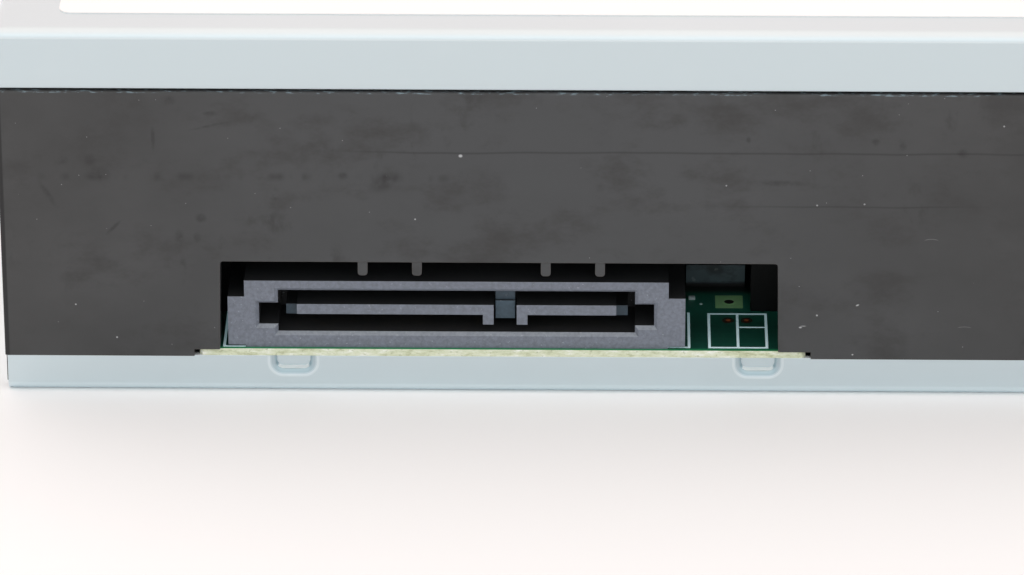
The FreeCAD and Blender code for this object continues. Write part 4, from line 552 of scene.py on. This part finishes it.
metal("contact", (0.72, 0.50, 0.19), (0.88, 0.66, 0.30), 0.22, 1800, (1, 0.2, 1), 0.003, (0.95, 0.80, 0.50))
metal("can", (0.62, 0.63, 0.65), (0.75, 0.76, 0.77), 0.28, 1500, (1, 1, 0.15), 0.003, grey(0.88))
metal("plain_steel", (0.52, 0.53, 0.54), (0.66, 0.67, 0.68), 0.34, 1700, (0.15, 1, 1), 0.004, grey(0.80))
metal("ground_steel", (0.62, 0.63, 0.64), (0.78, 0.78, 0.79), 0.14, 2600, (1, 1, 1), 0.001, grey(0.90))
metal("cast", (0.36, 0.37, 0.38), (0.50, 0.50, 0.51), 0.48, 900, (1, 1, 1), 0.02, grey(0.70))
metal("screw_steel", (0.40, 0.40, 0.41), grey(0.58), 0.26, 1400, (1, 1, 0.3), 0.003, grey(0.80))
metal("magnet", (0.10, 0.10, 0.105), (0.19, 0.19, 0.20), 0.45, 1100, (1, 1, 1), 0.012, (0.42, 0.42, 0.43))
print(sorted(finishes))

# %% [markdown]
# ## Plastics, rubber and film inside
# Gears are ivory acetal, the swinging frame is grey and glass-filled, chips are black resin.
# All are moulded, so one recipe gives a tone that drifts, a pored skin and edges that catch the light.
# Rubber is the same with more grain and no shine.

# %% Mouldings
def moulding(slot, dark, light, rough, pore, bumps, rubbed, gloss=0.5):
    """A moulded piece with a pored skin and rubbed edges."""
    made, at = start(slot)
    pores = at.noise(pore, 3)
    drift = at.noise(60, 4)
    colour = (drift * 0.7 + pores * 0.3).blend(dark, light)
    colour = (worn(at, 0.15) * 0.4).blend(colour, rubbed)
    finishes[slot] = shade(made, Base_Color=colour, Roughness=rough + drift * 0.1 + pores * 0.06,
                           Specular_IOR_Level=gloss, Normal=relief(at, pores, bumps * MM, 0.15, 0.45))


moulding("ivory_plastic", (0.66, 0.63, 0.53), (0.76, 0.74, 0.66), 0.34, 1300, 0.006, (0.84, 0.83, 0.78))
moulding("grey_plastic", (0.10, 0.10, 0.105), (0.15, 0.15, 0.155), 0.44, 1700, 0.015, (0.30, 0.30, 0.31))
moulding("carrier_plastic", (0.02, 0.02, 0.023), (0.034, 0.034, 0.038), 0.4, 2000, 0.01, (0.12, 0.12, 0.13))
moulding("soft_rubber", grey(0.018), (0.032, 0.031, 0.030), 0.78, 2400, 0.020, grey(0.07), 0.25)
moulding("chip_black", (0.014, 0.014, 0.015), (0.026, 0.026, 0.027), 0.52, 3200, 0.014, grey(0.09))
moulding("cable_film", (0.60, 0.62, 0.65), (0.72, 0.74, 0.76), 0.30, 800, 0.004, (0.82, 0.83, 0.84))
print(len(finishes), "finishes so far")

# %% [markdown]
# ## Cable socket
# The socket for the flat cable is slate plastic, mottled where it was moulded and wiped.
# Its foot stands in a dark gap above the board, so the colour falls to black near the bottom: painted
# shade.

# %% Slate plastic
SLATE, SLATE_PALE = (0.030, 0.042, 0.046), (0.074, 0.112, 0.128)
SPOT, FOOT_SHADE = (0.26, 0.30, 0.30), (0.002, 0.003, 0.003)
board_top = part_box("main_board")[1][2]
made, at = start("slate_plastic")
pores = at.noise(1500, 3)
patches = at.noise(330, 4, (1, 1, 1.6), 0.65).band(0.36, 0.62)
slate = patches.blend(SLATE, SLATE_PALE)
slate = (at.noise(900, 2).band(0.66, 0.72) * 0.4).blend(slate, SPOT)
# Painted shade: the socket darkens to black near the board.
foot = 1 - at.part("Z").band(board_top + 0.30 * MM, board_top + 0.46 * MM)
finishes["slate_plastic"] = shade(
    made, Base_Color=foot.blend(slate, FOOT_SHADE), Roughness=0.40 + pores * 0.12,
    Normal=relief(at, pores, 0.012 * MM, 0.15, 0.45))
print("slate plastic")

# %% [markdown]
# ## Clear pieces
# The lamp, its light pipe and the lens are clear mouldings.
# Glass lets light through, so the shader's transmission is set, with a faint tint and tiny ripples.

# %% Clear mouldings
def clear(slot, tint, tinted, rough):
    """A clear moulding with a drifting tint."""
    made, at = start(slot)
    ripple = at.noise(500, 2)
    finishes[slot] = shade(made, Base_Color=ripple.blend(tint, tinted), Roughness=rough + ripple * 0.04,
                           Transmission_Weight=0.85, IOR=1.5,
                           Normal=relief(at, ripple, 0.004 * MM, 0.08, 0.3))


clear("lamp", (0.72, 0.86, 0.72), (0.82, 0.93, 0.82), 0.12)
clear("optic", (0.62, 0.66, 0.90), (0.74, 0.78, 0.96), 0.02)
print("lamp and lens")

# %% [markdown]
# ## Put the finishes on
# The record says which slot each CAD piece takes, so one loop dresses them all.

# %% Dress the pieces
slot_of = {sub["node"]: sub["material_slot"] for sub in frame["record"]["subparts"]}
for name, piece in nodes.items():
    piece.data.materials.clear()
    piece.data.materials.append(finishes[slot_of[name]])
print("dressed", len(nodes), "pieces in", len(set(slot_of.values())), "finishes")

# %% [markdown]
# ## Print on the board
# White ink outlines show where the plug and an optional part sit.
# Ink could be a colour mask, but real ink stands up a little and has crisp ends, so it is a thin mesh.
# A flat plate is inset, its middle is removed, and the frame that is left is raised by the ink's thickness.
# The ink glows very faintly, so that it stays crisp in the shade of the window.

# %% Ink finish
INK_GLOW = 0.14
made, at = start("board_ink")
grain = at.noise(2600, 3)
finishes["ink"] = shade(
    made, Base_Color=grain.blend((0.74, 0.93, 0.98), (0.84, 0.98, 1.00)), Roughness=0.5 + grain * 0.15,
    Emission_Color=(0.55, 0.88, 0.96, 1), Emission_Strength=INK_GLOW,
    Normal=relief(at, grain, 0.004 * MM, 0.0, 0.5))
print("ink finish")

# %% Thin plates
def keep_place(piece):
    """Keep a new piece's place and size in its mesh."""
    bpy.ops.object.transform_apply(location=True, rotation=True, scale=True)
    return piece


def plate(name, x0, x1, y0, y1, z):
    """A flat rectangle, in millimetres across and metres up."""
    deselect()
    bpy.ops.mesh.primitive_plane_add(size=1, location=((x0 + x1) / 2 * MM, (y0 + y1) / 2 * MM, z))
    piece = bpy.context.object
    piece.name = name
    piece.scale = (abs(x1 - x0) * MM, abs(y1 - y0) * MM, 1)
    return keep_place(piece)


def raise_up(height):
    """Turn the selected flat faces into a solid of this height."""
    bpy.ops.mesh.select_all(action="SELECT")
    bpy.ops.mesh.extrude_region_move(TRANSFORM_OT_translate={"value": (0, 0, height)})
    bpy.ops.mesh.select_all(action="SELECT")
    bpy.ops.mesh.normals_make_consistent(inside=False)
    bpy.ops.object.mode_set(mode="OBJECT")


print("board top at", round(board_top / MM, 2), "mm")

# %% Strokes of ink
INK, LINE, CORNER = 0.02 * MM, 0.28 * MM, 0.05 * MM


def ink_frame(name, x0, x1, y0, y1):
    """The outline of a rectangle."""
    piece = plate(name, x0, x1, y0, y1, board_top)
    bpy.ops.object.mode_set(mode="EDIT")
    bpy.ops.mesh.select_all(action="SELECT")
    bpy.ops.mesh.inset(thickness=LINE, depth=0)
    bpy.ops.mesh.delete(type="FACE")
    raise_up(INK)
    return piece


def ink_line(name, x0, x1, y0, y1):
    """One stroke with cut corners."""
    piece = plate(name, x0, x1, y0, y1, board_top)
    bpy.ops.object.mode_set(mode="EDIT")
    bpy.ops.mesh.select_all(action="SELECT")
    bpy.ops.mesh.bevel(offset=CORNER, segments=2, affect="VERTICES")
    raise_up(INK)
    return piece


print("strokes", LINE / MM, "mm wide")

# %% Board ink
def merge(name, pieces):
    """One piece from several."""
    deselect()
    for piece in pieces:
        piece.select_set(True)
    bpy.context.view_layer.objects.active = pieces[0]
    if len(pieces) > 1:
        bpy.ops.object.join()
    pieces[0].name = name
    return pieces[0]


def settle(piece, finish, body="housing"):
    """Give a piece its finish and the body it moves with."""
    piece.data.materials.clear()
    piece.data.materials.append(finishes[finish])
    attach(piece, body)
    return piece


line = LINE / MM
left, right, front, back, split = -6.93, -0.64, 75.75, 84.05, -3.92
near_x, near_y, far_x, far_y, side_from = 1.22, 84.02, 49.9, 84.25, 75.6
strokes = [
    ink_frame("ink_box", left, right, front, back),
    ink_line("ink_middle", split, split + line, front + line, back - line),
    ink_line("ink_cross", left + line, split, 78.95, 78.95 + line * 0.8),
    ink_line("ink_side", near_x, near_x + line, side_from, near_y),
    ink_line("ink_return", near_x + line, 3.7, near_y - line, near_y),
    ink_line("ink_far_side", far_x, far_x + line, side_from, far_y),
    ink_line("ink_far_return", 47.6, far_x, far_y - line, far_y),
]
board_ink = settle(merge("board_ink", strokes), "ink")
print("board ink", len(board_ink.data.polygons), "faces")

# %% [markdown]
# ## Pads and vias
# Beside the plug lie a bare test pad with a hole and two plated vias under the mask. The hole is painted
# shade: a dark dome.
# A disc could be cut with a boolean, but a ring made by insetting a circle stays light and clean.

# %% Finishes of pads and vias
COPPER_DARK, COPPER, VIA_SHADE = (0.46, 0.10, 0.035), (0.62, 0.17, 0.06), (0.05, 0.018, 0.008)
made, at = start("masked_copper")
wave = at.noise(700, 3)
finishes["pad"] = shade(
    made, Base_Color=wave.blend((0.40, 0.82, 0.35), (0.50, 0.92, 0.45)), Roughness=0.42 + wave * 0.1,
    Normal=relief(at, wave, 0.006 * MM, 0.0, 0.4))
made, at = start("bare_copper")
wave = at.noise(1300, 3)
raised = at.part("Z").band(board_top + 0.03 * MM, board_top + 0.065 * MM)
finishes["via"] = shade(
    made, Base_Color=raised.blend(VIA_SHADE, wave.blend(COPPER_DARK, COPPER)), Metallic=0.35,
    Roughness=0.4 + wave * 0.15, Normal=relief(at, wave, 0.006 * MM, 0.0, 0.4))
# The hole is a nearly black dome: painted shade where the hole goes down.
made, at = start("hole_painted_shade")
wave = at.noise(900, 2)
finishes["hole"] = shade(
    made, Base_Color=wave.blend((0.006, 0.006, 0.005), (0.03, 0.026, 0.02)), Roughness=0.6 + wave * 0.1)
print("pad, via and hole finishes")

# %% Round pieces
def disc(name, x, y, radius, points):
    """A flat disc on the board, left in edit mode and selected."""
    deselect()
    bpy.ops.mesh.primitive_circle_add(vertices=points, radius=radius * MM, fill_type="NGON",
                                      location=(x * MM, y * MM, board_top))
    piece = bpy.context.object
    piece.name = name
    keep_place(piece)
    bpy.ops.object.mode_set(mode="EDIT")
    bpy.ops.mesh.select_all(action="SELECT")
    return piece


def ring(name, x, y, outer, inner, height):
    """A raised ring on the board."""
    piece = disc(name, x, y, outer, 24)
    bpy.ops.mesh.inset(thickness=(outer - inner) * MM, depth=0)
    bpy.ops.mesh.delete(type="FACE")
    raise_up(height * MM)
    return piece


def pick(piece, choose):
    """Select the faces that a test picks, and go into edit mode on faces."""
    deselect()
    piece.select_set(True)
    bpy.context.view_layer.objects.active = piece
    bpy.ops.object.mode_set(mode="EDIT")
    bpy.ops.mesh.select_mode(type="FACE")
    bpy.ops.mesh.select_all(action="DESELECT")
    bpy.ops.object.mode_set(mode="OBJECT")
    for face in piece.data.polygons:
        face.select = choose(face)
    bpy.ops.object.mode_set(mode="EDIT")


def domed(name, x, y, radius, height):
    """A low dome: a thin disc whose top is inset and lifted twice."""
    piece = disc(name, x, y, radius, 20)
    raise_up(0.004 * MM)
    pick(piece, lambda face: face.normal.z > 0.9)
    bpy.ops.mesh.inset(thickness=radius * 0.45 * MM, depth=height * MM)
    bpy.ops.mesh.inset(thickness=radius * 0.30 * MM, depth=height * 0.3 * MM)
    bpy.ops.object.mode_set(mode="OBJECT")
    return piece


print("rings and domes")

# %% Pads and vias
VIA_X, VIA_Y, VIA_R = (-2.81, -4.76), 77.43, 0.42
PAD_X, PAD_Y, HOLE_R, HOLE_RIM = -2.98, 72.95, 0.52, 0.72
vias = [domed(f"via_{k}", x, VIA_Y, VIA_R, 0.05) for k, x in enumerate(VIA_X)]
vias += [ring(f"via_rim_{k}", x, VIA_Y, 0.62, 0.46, 0.02) for k, x in enumerate(VIA_X)]
settle(merge("vias", vias), "via")
settle(ring("pad_rim", PAD_X, PAD_Y, HOLE_RIM, HOLE_R, 0.035), "pad")
# A dark dome stands for the hole: painted shade.
settle(domed("pad_hole", PAD_X, PAD_Y, HOLE_R, 0.012), "hole")
pad = plate("test_pad", -4.44, -1.51, 71.4, 74.5, board_top)
bpy.ops.object.mode_set(mode="EDIT")
bpy.ops.mesh.select_all(action="SELECT")
bpy.ops.mesh.bevel(offset=0.12 * MM, segments=3, affect="VERTICES")
raise_up(0.003 * MM)
settle(pad, "pad")
print("two vias and a pad")

# %% [markdown]
# ## A chip beside the plug
# The smallest parts on a board are ceramic bricks with tinned ends.
# A plate is raised, then all its edges are bevelled, because even such a tiny brick has no sharp corner.
# A dull dot of solder lies beside it.

# %% Chip
made, at = start("ceramic")
speckle = at.noise(4000, 3)
finishes["ceramic"] = shade(
    made, Base_Color=speckle.blend((0.58, 0.74, 0.76), (0.76, 0.88, 0.90)), Roughness=0.4 + speckle * 0.15,
    Normal=relief(at, speckle, 0.004 * MM, 0.0, 0.4))
CHIP_TALL, CHIP_ROUND = 0.3 * MM, 0.05 * MM
chip = plate("small_chip", 0.62, 1.32, 72.05, 72.55, board_top)
bpy.ops.object.mode_set(mode="EDIT")
raise_up(CHIP_TALL)
bpy.ops.object.mode_set(mode="EDIT")
bpy.ops.mesh.select_all(action="SELECT")
bpy.ops.mesh.bevel(offset=CHIP_ROUND, segments=2, affect="EDGES")
bpy.ops.object.mode_set(mode="OBJECT")
settle(chip, "ceramic")
settle(domed("solder_dot", 0.0, 73.5, 0.19, 0.08), "ceramic")
print("chip", len(chip.data.polygons), "faces")

# %% [markdown]
# ## Cross-recessed screw heads
# Four screws hold the floor. In CAD they are plain, so the drive recess is modelled here.
# A cylinder gets a bevelled rim, then a star of two crossing bars is cut from it by a boolean.
# One screw is made and copied to each place, and the four together stand for the CAD piece.

# %% Screw body
HEAD_R, HEAD_TALL, HEAD_ROUND = 2.4 * MM, 0.9 * MM, 0.3 * MM
SHANK_R, POINT = 1.25 * MM, 0.8 * MM
low, high = (Vector(c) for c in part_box("cover_screws"))
middle = Vector((low.x + HEAD_R, low.y + HEAD_R, low.z))
deselect()
bpy.ops.mesh.primitive_cylinder_add(vertices=40, radius=HEAD_R, depth=HEAD_TALL,
                                    location=middle + Vector((0, 0, HEAD_TALL / 2)))
screw = keep_place(bpy.context.object)
pick(screw, lambda face: face.normal.z < -0.9)
bpy.ops.mesh.bevel(offset=HEAD_ROUND, segments=3, affect="EDGES")
pick(screw, lambda face: face.normal.z > 0.9)
bpy.ops.mesh.inset(thickness=HEAD_R - SHANK_R, depth=0)
for length in (high.z - low.z - HEAD_TALL - POINT, POINT):
    bpy.ops.mesh.extrude_region_move(TRANSFORM_OT_translate={"value": (0, 0, length)})
bpy.ops.transform.resize(value=(0.6, 0.6, 1), center_override=(middle.x, middle.y, high.z))
bpy.ops.object.mode_set(mode="OBJECT")
print("screw body", len(screw.data.polygons), "faces")

# %% Cross recess
SLOT_WIDE, SLOT_LONG, SLOT_DEEP = 0.62 * MM, 2.6 * MM, 1.2 * MM
for wide, long in ((SLOT_WIDE, SLOT_LONG), (SLOT_LONG, SLOT_WIDE)):
    deselect()
    bpy.ops.mesh.primitive_cube_add(size=1, location=middle)
    bar = bpy.context.object
    bar.scale = (wide, long, SLOT_DEEP)
    keep_place(bar)
    pick(bar, lambda face: face.normal.z > 0.9)
    bpy.ops.transform.resize(value=(0.7, 0.7, 1), center_override=middle)
    deselect()
    bpy.context.view_layer.objects.active = screw
    cut = screw.modifiers.new("recess", "BOOLEAN")
    cut.object, cut.operation, cut.solver = bar, "DIFFERENCE", "EXACT"
    bpy.ops.object.modifier_apply(modifier="recess")
    bpy.data.objects.remove(bar)
deselect()
screw.select_set(True)
bpy.context.view_layer.objects.active = screw
bpy.ops.object.shade_smooth_by_angle(angle=math.radians(35))
print("recess cut,", len(screw.data.polygons), "faces")

# %% Floor screws
heads = [screw]
for dx in (0, high.x - low.x - 2 * HEAD_R):
    for dy in (0, high.y - low.y - 2 * HEAD_R):
        if dx or dy:
            copy = screw.copy()
            copy.data = screw.data.copy()
            bpy.context.collection.objects.link(copy)
            copy.data.transform(Matrix.Translation((dx, dy, 0)))
            heads.append(copy)
floor_screws = settle(merge("floor_screws", heads), "screw_steel")
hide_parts("cover_screws")
print("floor screws", len(floor_screws.data.polygons), "faces")

# %% [markdown]
# ## Feed screw
# The rod that drives the pickup has a coarse thread, three millimetres a turn, which CAD leaves plain.
# One turn of the thread is drawn as a profile, and the Screw modifier winds it along the rod.
# A helix of separate curves would leave gaps, while the wound profile is one skin once its turns join.
# Both ends are cut square and closed, then two turned journals are added.

# %% Feed screw thread
LEAD, CREST, ROOT = 3.0 * MM, 1.48 * MM, 1.12 * MM
PROFILE = ((0, 1.0), (1, 0.35), (0, 0.65), (-1, 0.35), (0, 0.65))
FREE_END_R, MOTOR_END_R = 0.8 * MM, 1.5 * MM
joints = frame["record"]["behaviour"]["joints"]
turning = next(j for j in joints if j["name"] == "feed_screw_turn")
axis, centre = Vector(turning["axis"]), Vector(turning["pos_m"])
low, high = (Vector(c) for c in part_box("feed_screw"))
first = (low.y - centre.y + FREE_END_R * axis.z) / axis.y
last = (high.y - centre.y - MOTOR_END_R * axis.z) / axis.y
thread_from, thread_to = first + 1.95 * MM, last - 1.8 * MM
deselect()
bpy.ops.mesh.primitive_plane_add(size=0.1 * MM, location=(0, 0, 0))
thread = bpy.context.object
bpy.ops.object.mode_set(mode="EDIT")
bpy.ops.mesh.select_mode(type="VERT")
bpy.ops.mesh.select_all(action="SELECT")
bpy.ops.mesh.merge(type="CENTER")
bpy.ops.transform.translate(value=(ROOT, thread_from - LEAD, 0))
for out, along in PROFILE:
    step = (out * (CREST - ROOT), along * MM, 0)
    bpy.ops.mesh.extrude_region_move(TRANSFORM_OT_translate={"value": step})
bpy.ops.object.mode_set(mode="OBJECT")
print("profile", len(thread.data.vertices), "points")

# %% Wind the thread
ROUND = 28
wind = thread.modifiers.new("wind", "SCREW")
wind.axis, wind.screw_offset, wind.angle = "Y", LEAD, math.tau
wind.steps = wind.render_steps = ROUND
wind.iterations = math.ceil((thread_to - thread_from) / LEAD) + 2
bpy.ops.object.modifier_apply(modifier="wind")
bpy.ops.object.mode_set(mode="EDIT")
bpy.ops.mesh.select_all(action="SELECT")
bpy.ops.mesh.remove_doubles(threshold=0.002 * MM)
for level, side in ((thread_from, "clear_inner"), (thread_to, "clear_outer")):
    bpy.ops.mesh.select_all(action="SELECT")
    bpy.ops.mesh.bisect(plane_co=(0, level, 0), plane_no=(0, 1, 0), use_fill=True, **{side: True})
bpy.ops.mesh.select_all(action="SELECT")
bpy.ops.mesh.normals_make_consistent(inside=False)
bpy.ops.object.mode_set(mode="OBJECT")
print("thread", round((thread_to - thread_from) / LEAD, 1), "turns")

# %% Feed screw
TIP, JOURNAL_ROUND = 0.78 * MM, 0.12 * MM
turned = [thread]
journals = ((TIP, first, thread_from + 0.3 * MM), (CREST, thread_to - 0.2 * MM, last))
for radius, y_from, y_to in journals:
    deselect()
    bpy.ops.mesh.primitive_cylinder_add(vertices=ROUND, radius=radius, depth=y_to - y_from,
                                        location=(0, (y_from + y_to) / 2, 0),
                                        rotation=(math.pi / 2, 0, 0))
    journal = keep_place(bpy.context.object)
    pick(journal, lambda face: abs(face.normal.y) > 0.9)
    bpy.ops.mesh.bevel(offset=JOURNAL_ROUND, segments=2, affect="EDGES")
    bpy.ops.object.mode_set(mode="OBJECT")
    turned.append(journal)
thread = merge("feed_screw_thread", turned)
bpy.ops.object.shade_smooth_by_angle(angle=math.radians(35))
lay = Vector((0, 1, 0)).rotation_difference(axis).to_matrix().to_4x4()
thread.data.transform(Matrix.Translation(centre) @ lay)
settle(thread, "ground_steel", "screw")
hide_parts("feed_screw")
print("feed screw", len(thread.data.polygons), "faces")
